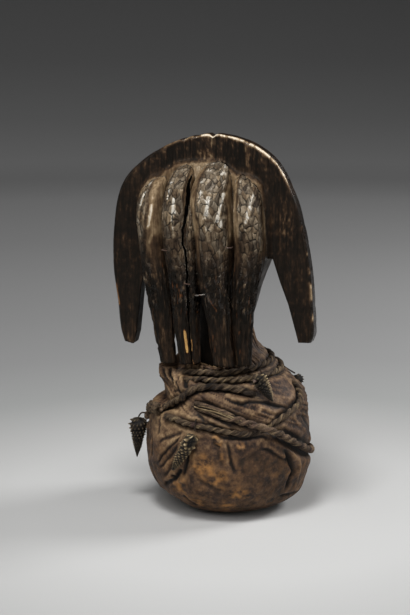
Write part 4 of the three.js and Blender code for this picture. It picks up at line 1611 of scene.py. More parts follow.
FOLDS = (
    Fold(((47, 151), (48, 141), (52.5, 135), (53, 127.5)), deep=3.0),
    Fold(((63.5, 145), (69, 138.5), (72, 130.5)), deep=4.5, narrow=2.4, rub=0.1),
    Fold(((53.5, 150), (59, 144), (66, 138)), deep=-1.8, narrow=2.0, rub=0.45),
    Fold(((41, 149), (42, 141), (45, 131)), deep=2.0, rub=0.25),
    Fold(((56, 138), (61, 131), (66, 124)), deep=2.2, narrow=1.3, rub=0.35),
    Fold(((50, 124), (57, 126), (64, 131)), deep=1.8, narrow=1.2, rub=0.35),
    Fold(((105.5, 124.5), (113.5, 130), (122.5, 133.5), (131.5, 132.5), (137, 129)), deep=-1.6, narrow=2.2, rub=0.4),
    Fold(
        (
            (105.5, 126), (111.5, 123), (118.5, 120.5), (125, 122), (130.5, 122), (138, 120.5), (145, 117.5),
            (152, 114), (157.5, 111),
        ),
        deep=2.6, narrow=1.3, lap=2.4, rub=0.35,
    ),
    Fold(((117, 115), (126.5, 111.5), (133.5, 115), (139.5, 112.5), (146, 106.5)), deep=-1.4, narrow=2.4, rub=0.45),
    Fold(((91.5, 114.5), (102, 105.5), (110.5, 98)), deep=1.8, narrow=1.2),
    Fold(((81, 113), (90, 105), (99.5, 99.5), (106.5, 95.5)), deep=1.6, narrow=1.2),
    Fold(((76, 108), (84, 109), (88, 104), (87, 98)), deep=1.6, narrow=1.3, rub=0.1),
    Fold(((170, 105.5), (179, 91), (191.5, 78)), deep=1.6, narrow=1.8, rub=0.35),
    Fold(((145.5, 95), (156, 85.5), (172, 73)), narrow=1.4),
    Fold(((158, 104), (166, 93), (178, 79)), deep=-1.0, narrow=2.0),
    Fold(
        ((95.5, 92.5), (104.5, 89.5), (114, 89), (123.5, 89.5), (131.5, 88.5), (138.5, 84)), deep=3.0, lap=1.2, rub=0.0
    ),
    Fold(((93.5, 89), (97, 90), (99.5, 85.5), (102.5, 87)), deep=-1.7, narrow=1.1, rub=0.9, warm=0.9),
    Fold(((95, 86), (97.5, 82), (101, 80)), deep=1.6, narrow=1.0, rub=0.5, warm=0.7),
    Fold(((110.5, 83.5), (114, 80.5), (117.5, 82)), deep=-1.5, narrow=1.2, rub=0.8, warm=0.8),
    Fold(((104, 87), (106, 77.5), (107.5, 65.5), (109, 58.5), (110.5, 53)), deep=1.9, narrow=1.3, lap=-1.0),
    Fold(((95.5, 81), (99.5, 75), (99, 66.5)), deep=1.0, narrow=1.6, warm=0.6),
    Fold(((127.5, 78), (134, 76), (139, 70.5), (145, 65), (152, 61.5)), deep=1.6, narrow=1.1, lap=1.8, rub=0.5),
    Fold(
        ((148.5, 72.5), (155.5, 63.5), (163.5, 52), (163.5, 38.5), (165, 27.5), (167.5, 19)), deep=-2.2, narrow=2.2,
        rub=0.5,
    ),
    Fold(
        ((146, 75), (150.5, 68), (153.5, 59), (158, 47.5), (156, 38), (155, 31), (152, 26)), deep=4.6, narrow=1.9,
        lap=1.6, rub=0.0,
    ),
    Fold(((180, 54.5), (179.5, 43.5), (174.5, 31), (172.5, 21.5)), deep=2.0, lap=-1.4),
    Fold(((134, 86), (143, 79), (152, 70), (160, 60)), deep=-1.2, narrow=1.6, rub=0.35),
    Fold(((74, 93), (68, 88), (59.5, 82.5), (48.5, 75)), deep=1.5),
    Fold(((72.5, 89.5), (67, 80.5), (58, 68.5), (45.5, 51.5)), deep=1.7, narrow=1.2, lap=-0.8),
    Fold(((70.5, 81.5), (65, 69), (56.5, 57), (47, 46.5)), deep=1.5, narrow=1.2, rub=0.35),
    Fold(((69.5, 67.5), (64.5, 58), (58.5, 47.5), (53, 40)), deep=1.5, rub=0.35),
    Fold(((78.5, 73.5), (76, 65), (75, 55), (72, 46)), deep=2.4, narrow=1.8, rub=0.1),
    Fold(((83.5, 77), (82.5, 67.5), (80.5, 56), (79, 47.5)), deep=-1.2, narrow=1.8, rub=0.35, warm=0.3),
    Fold(((59.5, 45), (65, 44), (69, 49.5), (71.5, 55.5)), deep=3.6, narrow=1.7, lap=0.8, rub=0.2),
    Fold(((48.5, 29.5), (58, 36), (63, 40.5), (68.5, 43.5)), deep=2.4, narrow=1.4),
    Fold(((65.5, 38.5), (70.5, 41), (75.5, 44.5)), deep=-1.2, narrow=1.4, rub=0.7, warm=0.6),
    Fold(((69, 27), (72.5, 19.5), (79, 12.5)), rub=0.25),
    Fold(((82, 48), (89.5, 42), (97, 37), (104.5, 34.5)), deep=0.9, narrow=2.0, rub=0.2, warm=0.4),
    Fold(((148, 21), (156.5, 21.5), (166.5, 20), (180.5, 16.5)), deep=2.8, narrow=1.6, lap=1.4),
    Fold(((46.5, 101), (47, 90.5), (47.5, 80))), Fold(((37, 81.5), (40.5, 69), (36.5, 53.5)), deep=1.6),
    Fold(((224, 100), (232, 84), (236, 62), (230, 45)), deep=1.6, narrow=1.8, rub=0.2),
    Fold(((262, 98), (258, 80), (266, 60)), narrow=1.6, rub=0.2),
    Fold(((300, 92), (306, 72), (300, 50), (308, 34)), deep=1.8, narrow=1.8, lap=1.0, rub=0.25),
    Fold(((340, 76), (334, 58), (342, 38)), narrow=1.6, rub=0.2),
    Fold(((215, 134), (240, 131), (265, 133)), deep=1.5, narrow=1.6, lap=1.0, rub=0.2),
    Fold(((290, 134), (315, 127), (345, 121)), deep=1.6, narrow=1.6, lap=1.2, rub=0.2),
)

# Where the hide's surface has gone and orange shows: turn, height and half width.
WARM_SPOTS = (
    (88, 64.5, 6.0), (91, 60.5, 6.5), (86, 57, 4.5), (101, 51.5, 5.0), (97.5, 53, 4.0), (69.5, 41, 4.0),
    (95.5, 44, 4.0), (112.5, 32.5, 6.0), (118.5, 30.5, 5.0), (104.5, 15.5, 6.0), (72, 25, 5.0), (99, 85.5, 3.5),
    (114, 82, 3.0), (82, 18.5, 5.0), (66, 33, 5.0),
)


@dataclass
class HideBundle:
    """The stuffed hide with its folds, wrinkles and grooves under the ropes, and a hole for the neck.

    Attributes:
        columns: points round it.
        shift: degrees by which columns are drawn together at the most detailed side.
        detailed: turn of that side.
        neck_radius: radius of the hole.
        floor: height of the hole's floor.
    """

    columns: int = 420
    shift: float = 17.0
    detailed: float = 105.0
    neck_radius: float = 28.4
    floor: float = 105.4

    def grid(self) -> tuple[Array, Array, Array]:
        """The outer skin before its relief, with rows from the middle of its underside out and up to the collar.

        Returns:
            Grid of places, turns in degrees and heights.
        """
        base = np.linspace(0.02, 1.0, 22)[:-1]
        fine = np.linspace(0, FORM.top, 2000)
        walked = walk(np.column_stack([fine, through(FORM.rows, fine)]))
        side = np.interp(np.linspace(0, walked[-1], 176), walked, fine)
        reach = np.concatenate([base, np.ones(len(side))])
        even = np.linspace(0, 360, self.columns, endpoint=False)
        turn = even - self.shift * np.sin(np.radians(even - self.detailed))
        turn, height = np.meshgrid(turn, np.concatenate([0 * base, side]))
        return FORM.point(turn, height, reach[:, None]), turn, height

    def folded(self, points: Array, normals: Array) -> tuple[Array, Array, Array, Array]:
        """All folds: a crease -deep exp(-(s / narrow)^2) and a lap that steps up on one side, s being the distance.

        Args:
            points: the plain skin.
            normals: its outward normals.

        Returns:
            Displacement in millimetres, and how much rub and painted highlight on the lips, painted shade in the
            creases, and warmth the folds add.
        """
        move, rub, soot, warm = np.zeros((4, *points.shape[:2]))
        waver = 0.8 * swell(points / 9.0, 321) + 0.5 * swell(points / 3.0, 322)
        for fold in FOLDS:
            line = curve_through(FORM.lifted(*zip(*fold.rows), 0.0), 110)
            reach, share = distance_to(points, line, 14.0)
            at = np.nonzero(reach < 13.9)
            row = np.rint(share[at] * (len(line) - 1)).astype(int)
            left = unit(np.cross(normals[at], np.gradient(line, axis=0)[row]))
            side = np.sum((points[at] - line[row]) * left, axis=-1) + waver[at]
            within = ramp(0.0, 0.2, share[at]) * ramp(1.0, 0.8, share[at])
            narrow = fold.narrow * (0.75 + 0.5 * within)
            crease = mound(side, narrow) * within
            facing = 1 if fold.lap >= 0 else -1
            above = ramp(-0.5, 0.9, facing * side / fold.narrow)
            lip = crease
            if fold.deep >= 0:
                lip = within * mound(np.abs(side) - 1.5 * narrow, 0.9 * narrow) * (
                    0.45 + 0.55 * facing * np.sign(side)
                )
            move[at] += abs(fold.lap) * above * mound(reach[at], 8.0) * within - fold.deep * crease
            # The lips are painted pale, as worn edges and as a painted highlight. Each crease is painted dark by its
            # depth, as painted shade.
            rub[at] += 0.34 * fold.rub * lip
            soot[at] += crease * max(0.0, min(1.0, 0.34 * fold.deep))
            warm[at] += fold.warm * lip
        return move, rub, soot, warm

    def wrinkled(self, points: Array, turn: Array, height: Array) -> Array:
        """Wrinkles where a swell c crosses zero, b tanh(c / 0.25) - a exp(-(c / 0.11)^2), drawn out along the hide.

        Between the ropes they run down and round, below them down, and on the collar they are gathers.

        Args:
            points: the plain skin.
            turn: degrees round it.
            height: height on it.

        Returns:
            Displacement in millimetres.
        """
        angle = np.radians(turn)
        bend = 0.35 * swell(points / 16.0, 341)
        upper = ramp(84, 104, height) * ramp(150, 132, height)
        upper = upper * (1 - 0.75 * mound(np.abs(turn - 168), 26) * ramp(104, 116, height))
        collar = ramp(124, 144, height)
        lower = ramp(96, 76, height) * ramp(4, 22, height)
        move = 0.3 * rough(points / 5.0, 349) + 0.14 * rough(points / 2.2, 353)
        # Where they are, slope in radians a millimetre, how many a radian, length, seed, a and b.
        for where, slope, count, long, seed, deep, swollen in (
            (upper, 0.035, 8.0, 46.0, 343, 0.9, 0.55), (upper, 0.03, 19.0, 22.0, 344, 0.4, 0.2),
            (upper, 0.03, 38.0, 11.0, 350, 0.5, 0.16), (collar, 0.0, 5.5, 60.0, 345, 1.5, 0.9),
            (collar, 0.01, 12.0, 30.0, 346, 0.6, 0.3), (collar, 0.01, 24.0, 12.0, 352, 0.6, 0.26),
            (lower, 0.004, 4.2, 52.0, 347, 0.45, 0.6), (lower, -0.012, 11.0, 26.0, 348, 0.22, 0.14),
            (lower, 0.006, 24.0, 16.0, 351, 0.12, 0.08),
        ):
            wave = swell(polar(count, angle + slope * height, height / long) + bend[..., None], seed)
            move += where * (swollen * np.tanh(wave / 0.25) - deep * mound(wave, 0.11))
        return move

    def relief(self, points: Array, turn: Array, height: Array) -> tuple[Array, Array]:
        """Folds, wrinkles and rope grooves, as one displacement along the hide's normal.

        A rope's groove is -depth exp(-(d / r)^2) with a roll of hide on each side of it, and painted shade along the
        rope. Colour follows the height over the surroundings: worn on crowns, and painted shade in hollows.

        Args:
            points: the plain skin.
            turn: degrees round it.
            height: height on it.

        Returns:
            Displacement in millimetres, and masks for rub, soot, gloss and warmth.
        """
        normals = outward(points)
        folds, fold_rub_and_highlight, fold_shade, warm = self.folded(points, normals)
        calm = np.exp(-np.abs(folds) / 2.0)
        lumps = rough(points / 24.0, 301, 2)
        move = folds + self.wrinkled(points, turn, height) * (0.5 + 0.7 * calm) + 1.1 * lumps
        collar = ramp(118, 140, height)
        lower = ramp(84, 66, height)
        left = ramp(92, 70, turn) * ramp(20, 40, turn)
        rub = 0.4 + 0.2 * rough(points / 15.0, 302) + 0.22 * rough(points / 3.2, 303) + 0.02 * collar + fold_rub_and_highlight
        # Painted light: the hide's left side, towards the left lights, is painted paler above the bottom band. The
        # bottom band, the low front and right, and the left under the collar are made darker.
        rub += 0.24 * left * (1 - lower) - 0.08 * lower
        rub -= 0.18 * ramp(106, 128, turn) * ramp(215, 185, turn) * ramp(96, 78, height)
        rub -= 0.16 * ramp(114, 128, height) * ramp(92, 78, turn) * ramp(18, 34, turn)
        soot = 0.8 * fold_shade + 0.22 * ramp(0.2, 0.9, rough(points / 16.0, 309))
        for rope in ROPES:
            line = rope.line(2.4)
            reach, share = distance_to(points, line)
            rows = [(*row, 1.5)[:3] for row in rope.rows]
            lift = np.interp(share, np.linspace(0, 1, len(rows)), [row[2] for row in rows])
            bare = ramp(-3.5, -0.5, lift)
            depth = np.maximum(0, rope.radius - np.minimum(lift, 1.5) + 0.35) * bare + 1.4 * (1 - bare)
            centre = np.maximum(0.0, reach - np.abs(lift) * bare)
            open_by = 2.5 * ramp(rope.open_until + 0.05, rope.open_until - 0.02, share) if rope.open_until else 0.0
            centre = np.maximum(0.0, centre - open_by)
            under = mound(centre, rope.radius * (0.5 + 0.6 * bare))
            roll = mound(centre - 2.0 * rope.radius, 0.8 * rope.radius) * bare
            keep = 1 - under * (0.4 + 0.6 * bare)
            depth = depth * (1 - 0.55 * ramp(0, 4, open_by))
            move = move * keep - depth * under + 0.6 * roll
            # Painted shade along each rope: the hide is painted dark under it and just beside it.
            soot += (0.45 + 0.4 * bare) * mound(centre, rope.radius * (0.7 + 0.5 * bare))
            rub += 0.05 * roll
            warm = warm * (1 - under)
        smooth = move
        for step in (1, 2, 4):
            beside = np.roll(smooth, step, axis=1) + np.roll(smooth, -step, axis=1)
            above = np.vstack([smooth[step:], smooth[-step:]]) + np.vstack([smooth[:step], smooth[:-step]])
            smooth = (2 * smooth + beside + above) / 6
        crown = np.clip(move - smooth, -2.0, 2.0)
        # Crowns over their surroundings are painted paler as worn, and hollows darker as painted shade.
        rub += 0.3 * np.clip(crown, -1.2, 0.5)
        soot += 0.35 * np.maximum(0.0, -crown - 0.12)
        stray = 2.5 * swell(points / 4.0, 361)
        for at, high, wide in WARM_SPOTS:
            off = np.linalg.norm(points - FORM.lifted(at, high, 0.0), axis=-1) + stray
            warm += 0.8 * ramp(1.8 * wide, 0.2 * wide, off)
        warm += lower * (
            0.15 + 0.2 * ramp(-0.1, 0.7, rough(points / 13.0, 363)) * ramp(-0.3, 0.6, swell(points / 4.0, 365))
        )
        flat = ramp(0, 9, height)
        gloss = 0.45 + 0.35 * rough(points / 11.0, 311) + 0.2 * crown
        return move * flat, stacked(rub, soot, gloss, np.clip(warm, 0, 1))

    def build(self) -> Piece:
        """The whole bundle as one closed body.

        Returns:
            The object named hide_bundle_skin.
        """
        points, turn, height = self.grid()
        move, wear = self.relief(points, turn, height)
        outer = points + outward(points) * move[..., None]
        angle = np.radians(turn[-1])
        rim, rim_wear = outer[-1], wear[-1]
        reach = np.hypot(rim[:, 0] - HEAD_X, rim[:, 1])
        edge = 1.6 * rough(stacked(6 * np.cos(angle), 6 * np.sin(angle)), 331)
        rows = []
        for inwards, up in ((0.5, 0.6), (1.4, 0.9), (2.4, 0.6), (3.0, -0.6), (3.4, -3.5), (3.8, -7.0)):
            radius = np.maximum(reach - inwards, self.neck_radius)
            rows.append(polar(radius, angle, rim[:, 2] + up + edge * (up > -1), HEAD_X))
        deepest = rows[-1][:, 2]
        for share in (0.5, 1.0):
            radius = reach - 3.8 + (self.neck_radius - reach + 3.8) * share
            rows.append(polar(radius, angle, deepest - 1.5 * share, HEAD_X))
        for share in np.linspace(0, 1, 14)[1:]:
            low = deepest - 1.5 + (self.floor - deepest + 1.5) * share
            rows.append(polar(self.neck_radius, angle, low, HEAD_X))
        inner = np.stack(rows)
        # The inside of the hole is painted dark: painted shade between the hide and the neck.
        inner_wear = np.tile([0.35, 0.75, 0.2, 0.0], (*inner.shape[:2], 1))
        pink = 0.7 * mound(apart(turn[-1], 40), 14)
        inner_wear[:3] = stacked(rim_wear[:, 0] + 0.35, 0.1 * rim_wear[:, 1], rim_wear[:, 2], pink)
        return skin("hide_bundle_skin", np.concatenate([outer, inner]), np.concatenate([wear, inner_wear]))


# Ropes, ties and shells.


@dataclass
class TwistedRope:
    """A two-strand rope of twisted bast, with frayed fibres.

    Attributes:
        route: its way over the hide.
        lay: length of one full turn of the strands, in rope radii.
        slack: how thick it is drawn for its radius, as its hairs fill the rest.
        sides: points round a strand.
    """

    route: RopeRoute
    lay: float = 5.9
    slack: float = 0.92
    sides: int = 14

    def across(self, line: Array) -> tuple[Array, Array]:
        """Directions across the rope: up = out - ahead (out . ahead), and the other is ahead x up.

        Args:
            line: the rope's middle.

        Returns:
            Unit directions along the hide and away from the bundle's middle, at each row.
        """
        ahead = unit(np.gradient(line, axis=0))
        up = line * [1.0, 1.0, 0.0] - [HEAD_X, 0.0, 0.0]
        up = unit(up - ahead * np.sum(up * ahead, axis=1, keepdims=True))
        return np.cross(ahead, up), up

    def strand(self, line: Array, which: int) -> tuple[Array, Array, Array]:
        """One strand: a tube of 0.6 r at 0.41 r off the rope's middle, which turns once in each lay.

        Args:
            line: the rope's middle.
            which: 0 or 1.

        Returns:
            Its grid, masks and places along its fibres.
        """
        route = self.route
        radius = self.slack * route.radius
        side, up = self.across(line)
        walked = walk(line)
        share = walked / walked[-1]
        turn = 2 * np.pi * walked / (self.lay * radius) + 0.5 * swell(stacked(walked / 18), route.seed)
        swing = 0.41 * radius * (1 + 0.12 * swell(stacked(walked / 14), route.seed + 1))
        if route.open_until:
            turn = np.where(share < route.open_until, 0.0, turn - np.interp(route.open_until, share, turn))
            swing = swing * (1 + 0.75 * ramp(route.open_until + 0.045, route.open_until - 0.03, share))
        turn = turn + np.pi * which
        bound = mound((share - route.bound[0]) * walked[-1], max(0.1, 0.5 * route.bound[1]))
        middle = line + (swing * (1 - 0.3 * bound))[:, None] * (
            np.cos(turn)[:, None] * side + np.sin(turn)[:, None] * up
        )
        angle = circle(self.sides)
        ends = np.sqrt(
            np.clip(1 - (1 - np.clip(np.minimum(walked, walked[-1] - walked) / radius, 0, 1)) ** 2, 0.03, 1)
        )
        thick = 0.6 * radius * (1 + 0.13 * swell(stacked(walked / 9), route.seed + 2 + which)) * ends
        thick = thick * (1 + 0.12 * bound * np.cos(walked * 2 * np.pi / 1.9))
        fibre_turn = angle[None, :] + 2.2 * np.pi * walked[:, None] / (self.lay * radius)
        ring = stacked(np.cos(fibre_turn), np.sin(fibre_turn))
        length = np.broadcast_to(walked[:, None, None], (*ring.shape[:2], 1))
        places = np.concatenate([2.6 * ring, length / 16], -1)
        fibres = rough(places, route.seed + 5 + which, 2)
        lumps = rough(stacked(walked / 2.4), route.seed + 12 + which)[:, None]
        points = sweep(middle, thick[:, None] * (1 + 0.17 * fibres + 0.07 * lumps), self.sides)
        dusty = rough(places * 0.5, route.seed + 9)
        warm = bound[:, None] + route.ruddy * ramp(-0.5, 0.5, dusty)
        wear = stacked(0.5 + route.dusty + 0.4 * fibres + 0.3 * dusty, 0.28 - 0.8 * fibres, 0.3 + 0.2 * dusty, warm)
        dirt = ramp(-0.1, 0.6, rough(stacked(walked / 13), route.seed + 15))[:, None]
        wear[..., 0] -= 0.3 * bound[:, None] + 0.22 * dirt
        wear[..., 1] += 0.2 * dirt
        fine = np.concatenate([0.56 * radius * ring, length / 14 + 9 * which], -1) * MM
        return points, wear, fine

    def fibres(self, line: Array) -> list[tuple[Array, Array]]:
        """Loose fibres that leave the rope and come back to it: thin tubes that stray by soft random waves.

        Args:
            line: the rope's middle.

        Returns:
            Each fibre's grid and masks.
        """
        side, up = self.across(line)
        route = self.route
        grids = []
        for number, (start, end, count, stray) in enumerate(route.frayed):
            for which in range(count):
                luck = lattice(np.arange(4.0)[:, None] + 10 * which, route.seed + 30 + number)
                first = start + 0.35 * (end - start) * luck[0]
                last = end - 0.35 * (end - start) * luck[1]
                rows = np.arange(int(first * len(line)), int(last * len(line)) + 2)
                part = np.linspace(0, 1, len(rows))
                wave = swell(stacked(part * 2.2 + 5 * luck[2]), route.seed + 40 + which)
                aside = stray * (2 * (which + 0.5) / count - 1) * (0.5 + 0.5 * np.sin(np.pi * part)) + 0.8 * wave
                rise = 0.5 * route.radius * (1 - (aside / (stray + 3)) ** 2) + 0.9 * luck[3]
                path = line[rows] + aside[:, None] * side[rows] + rise[:, None] * up[rows]
                points = sweep(path, np.full((len(rows), 1), 0.34 + 0.16 * luck[3]), 6)
                grids.append((points, np.tile([0.5 + 0.4 * luck[2], 0.1, 0.3], (*points.shape[:2], 1))))
        return grids

    def build(self) -> Piece:
        """Both strands and the loose fibres as one object.

        Returns:
            The rope.
        """
        line = self.route.line()
        grids = [self.strand(line, which) for which in (0, 1)] + self.fibres(line)
        return skins(f"{self.route.name}_strands", grids)


@dataclass(frozen=True)
class ShellPlace:
    """Where a shell hangs, and how it has grown.

    Attributes:
        name: the CAD node it stands for.
        mouth: turn, height and distance off the hide of its mouth end.
        point: the same of its point.
        opening: degrees round its axis at which its mouth opens: 0 is away from the hide, 270 towards lower turns.
        seed: which random relief it has.
        wide: half its width over its length.
        taper: power of its outline: 1 is a cone, less is fuller.
        rows: rows of knobs on a whorl.
        worn: how much of its dark crust has gone.
        flare: how far its lip stands out.
        knobs: knobs in one turn.
        sharp: how narrow a knob is; under 1 the pits between them are narrow instead.
        gape: how much wider its mouth opens than usual.
        painted_lit_turn: degrees round its axis of its painted lit side, where its knobs are painted pale as lit,
            while the rest is painted black as shade.
    """

    name: str
    mouth: tuple[float, float, float]
    point: tuple[float, float, float]
    opening: float
    seed: int
    wide: float = 0.2
    taper: float = 0.9
    rows: float = 2.0
    worn: float = 0.2
    flare: float = 0.0
    knobs: int = 13
    sharp: float = 3.0
    gape: float = 1.0
    painted_lit_turn: Optional[float] = None


SHELLS = (
    ShellPlace("shell_left", (16, 86, 9.5), (11, 45, 13), 300, 401, wide=0.205, taper=0.8, flare=0.25),
    ShellPlace(
        "shell_middle", (84, 91, 10.5), (67, 53, 5.6), 62, 409, wide=0.135, taper=0.4, worn=0.32, knobs=8, sharp=0.9,
        gape=1.4,
    ),
    ShellPlace(
        "shell_upper", (135.5, 137, 12.2), (141.5, 118.0, 7.4), 285, 419, wide=0.27, taper=0.6, worn=0.35, flare=1.7,
        knobs=9, painted_lit_turn=55.0,
    ),
    ShellPlace("shell_right", (221, 118, 7.4), (238, 98, 6), 90, 421, worn=0.1),
)


@dataclass
class SpiredShell:
    """A tall spired sea-snail shell: whorls that grow by a fixed ratio, each with rows of knobs.

    Attributes:
        place: where it hangs and how it has grown.
        growth: how much wider each whorl is than the last.
    """

    place: ShellPlace
    growth: float = 1.26

    def build(self) -> Piece:
        """The shell: radius = wide L (h / L)^taper (1 + whorl + knobs), whorl phase = ln h / ln growth - turn.

        Returns:
            The shell.
        """
        shell = self.place
        tip, mouth = FORM.lifted(*shell.point), FORM.lifted(*shell.mouth)
        axis, length = unit(mouth - tip), float(np.linalg.norm(mouth - tip))
        out = tip * [1.0, 1.0, 0.0]
        out = unit(out - axis * np.dot(out, axis))
        beside = np.cross(axis, out)
        turn, along = np.meshgrid(circle(84), np.linspace(0, 1, 130) ** 0.85)
        high = 0.012 * length + along * length * 0.988
        phase = np.log(high) / math.log(self.growth) - turn / (2 * np.pi)
        part = phase % 1.0
        whorl = np.sin(np.pi * part) ** 0.6
        rows = 0.5 + 0.5 * np.cos(2 * np.pi * (shell.rows * part - 0.5))
        knobs = 0.5 + 0.5 * np.cos(shell.knobs * turn + 2.6 * np.floor(phase * shell.rows))
        bumps = rows * knobs**shell.sharp * (1 + 0.55 * rough(stacked(turn * 2.2, along * 10), shell.seed + 5))
        end = np.sqrt(np.clip(1 - np.clip((along - 0.84) / 0.16, 0, 1) ** 2.2, 0.02, 1))
        start = ramp(0, 0.03, along) * 0.5 + 0.5
        aside = apart(turn, math.radians(shell.opening), 2 * np.pi)
        from_mouth = np.hypot(aside / 0.75, (along - 0.86) / 0.115) / shell.gape
        inside = np.clip(1 - from_mouth**2, 0, 1)
        lip = mound(from_mouth - 1.08, 0.22)
        flared = mound(aside, 0.42) * mound(along - 0.9, 0.07)
        radius = shell.wide * length * (high / length) ** shell.taper * end * start
        radius *= 0.78 + 0.16 * whorl + 0.36 * bumps * ramp(0.05, 0.2, along)
        radius *= 1 + 0.10 * lip + shell.flare * flared
        radius *= 1 - 0.62 * np.sqrt(inside)
        radius += 0.1 * rough(stacked(turn * 5, along * 22), shell.seed)
        ring = polar(radius, turn, high)
        points = tip + ring[..., :1] * out + ring[..., 1:2] * beside + ring[..., 2:] * axis
        rub = shell.worn + 0.55 * bumps + 0.3 * lip - 0.3 * (1 - whorl)
        # Painted shade in the mouth: the inside of the opening is painted dark.
        soot = 0.9 * ramp(0.1, 0.5, inside) + 0.5 * ramp(0.5, 0.1, whorl)
        gloss = 0.3 + 0.2 * bumps + 0.15 * lip
        soot += 0.35 * ramp(0.35, 0.0, bumps)
        # Painted light and shade: one side of the shell is painted pale as lit, and the rest near black as shade.
        if shell.painted_lit_turn is not None:
            painted_lit_side = mound(apart(turn, math.radians(shell.painted_lit_turn), 2 * np.pi), 0.75)
            rub += 0.6 * painted_lit_side * (0.4 + bumps)
            soot = np.maximum(soot * (1 - 0.5 * painted_lit_side), 0.85 * (1 - painted_lit_side))
        pale = np.clip(shell.flare, 0, 1) * flared
        wear = stacked(rub, soot * (1 - pale), gloss, 1.6 * pale)
        return skin(f"{shell.name}_whorls", points, wear)


@dataclass(frozen=True)
class TiePlace:
    """A tie from a rope to a shell.

    Attributes:
        name: the CAD node that it stands for.
        rows: turn in degrees, height and lift off the hide along it.
    """

    name: str
    rows: Rows


TIES = (
    TiePlace("tie_left", ((26, 96, 4), (20, 93, 8), (17, 88, 10))),
    TiePlace("tie_middle", ((83, 105, 1.2), (84, 100, 7.5), (84.5, 95, 9))),
    TiePlace("tie_upper", ((133, 149.2, 6), (134.5, 146.5, 9.5), (135.5, 142.5, 12.2))),
    TiePlace("tie_right", ((219, 139, 3.0), (220, 132.5, 2.2), (221, 122.5, 6.0))),
)


@dataclass
class ThreadTie:
    """A short two-ply thread from a rope into a shell's mouth.

    Attributes:
        place: its way over the hide.
        radius: half its thickness over both plies.
    """

    place: TiePlace
    radius: float = 0.9

    def build(self) -> Piece:
        """Two plies of 0.55 r at 0.45 r off the middle, turning once in 4 mm.

        Returns:
            The tie.
        """
        line = curve_through(FORM.lifted(*zip(*self.place.rows)), 50)
        side, up = carried_frame(unit(np.gradient(line, axis=0)))
        walked = walk(line)
        grids = []
        for which in (0, 1):
            turn = 2 * np.pi * walked / 4.0 + np.pi * which
            middle = line + 0.45 * self.radius * (np.cos(turn)[:, None] * side + np.sin(turn)[:, None] * up)
            points = sweep(middle, np.full((len(line), 1), 0.55 * self.radius), 8)
            grids.append((points, np.tile([0.3, 0.3, 0.3], (*points.shape[:2], 1)), points * MM))
        return skins(f"{self.place.name}_thread", grids)


@dataclass
class RopeKnot:
    """The knot where the ropes meet, as three turns of one rope drawn tight.

    Attributes:
        turn: degrees round the bundle.
        height: its height.
        lift: distance off the hide.
        length: its length along the hide.
        thick: its thickness.
    """

    turn: float = 40.0
    height: float = 104.0
    lift: float = 3.5
    length: float = 27.0
    thick: float = 13.0

    def build(self) -> Piece:
        """A coil round the knot's axis and two passes over it.

        Returns:
            The object named rope_knot_turns.
        """
        middle = FORM.lifted(self.turn, self.height, self.lift)
        ends = [FORM.lifted(self.turn + step, self.height + step / 8, self.lift) for step in (8, -8)]
        axis = unit(ends[0] - ends[1])
        out = unit(middle * [1.0, 1.0, 0.0])
        up = unit(np.cross(out, axis))
        grids = []
        core = 0.16 * self.thick
        for start, span, turns, wide in ((-0.40, 0.62, 2.2, 0.30), (-0.16, 0.56, 1.6, 0.34), (-0.46, 0.9, 0.5, 0.20)):
            part = np.linspace(0, 1, 110)
            angle = 2 * np.pi * turns * part + 2.4 * start * 5
            line = (
                middle
                + axis * ((start + span * part) * self.length)[:, None]
                + out * (0.8 * wide * self.thick * np.cos(angle))[:, None]
                + up * (wide * self.thick * np.sin(angle))[:, None]
            )
            round_off = np.sqrt(np.clip(1 - (2 * part - 1) ** 8, 0.05, 1))
            fibres = rough(stacked(part * 9), 351)
            length = span * self.length * (1 + turns * wide * 2)
            points = sweep(line, (core * round_off * (1 + 0.1 * fibres))[:, None], 14)
            grain = rough(points / 1.6, 353)
            points = points + outward(points) * (0.25 * grain)[..., None]
            worn = ramp(0.7, 1.0, part)[:, None] * (start < -0.3) + 0 * grain
            wear = stacked(0.5 + 0.35 * grain + 0.2 * worn, 0.3 - 0.4 * grain, 0.3 + 0 * grain, 0.5 * worn)
            round_it = circle(14)[None, :] + 0 * grain
            ring = stacked(np.cos(round_it), np.sin(round_it)) * core
            fine = np.concatenate([ring, np.broadcast_to((part * length / 14)[:, None, None], (*grain.shape, 1))], -1)
            grids.append((points, wear, fine * MM))
        return skins("rope_knot_turns", grids)


# The studio.


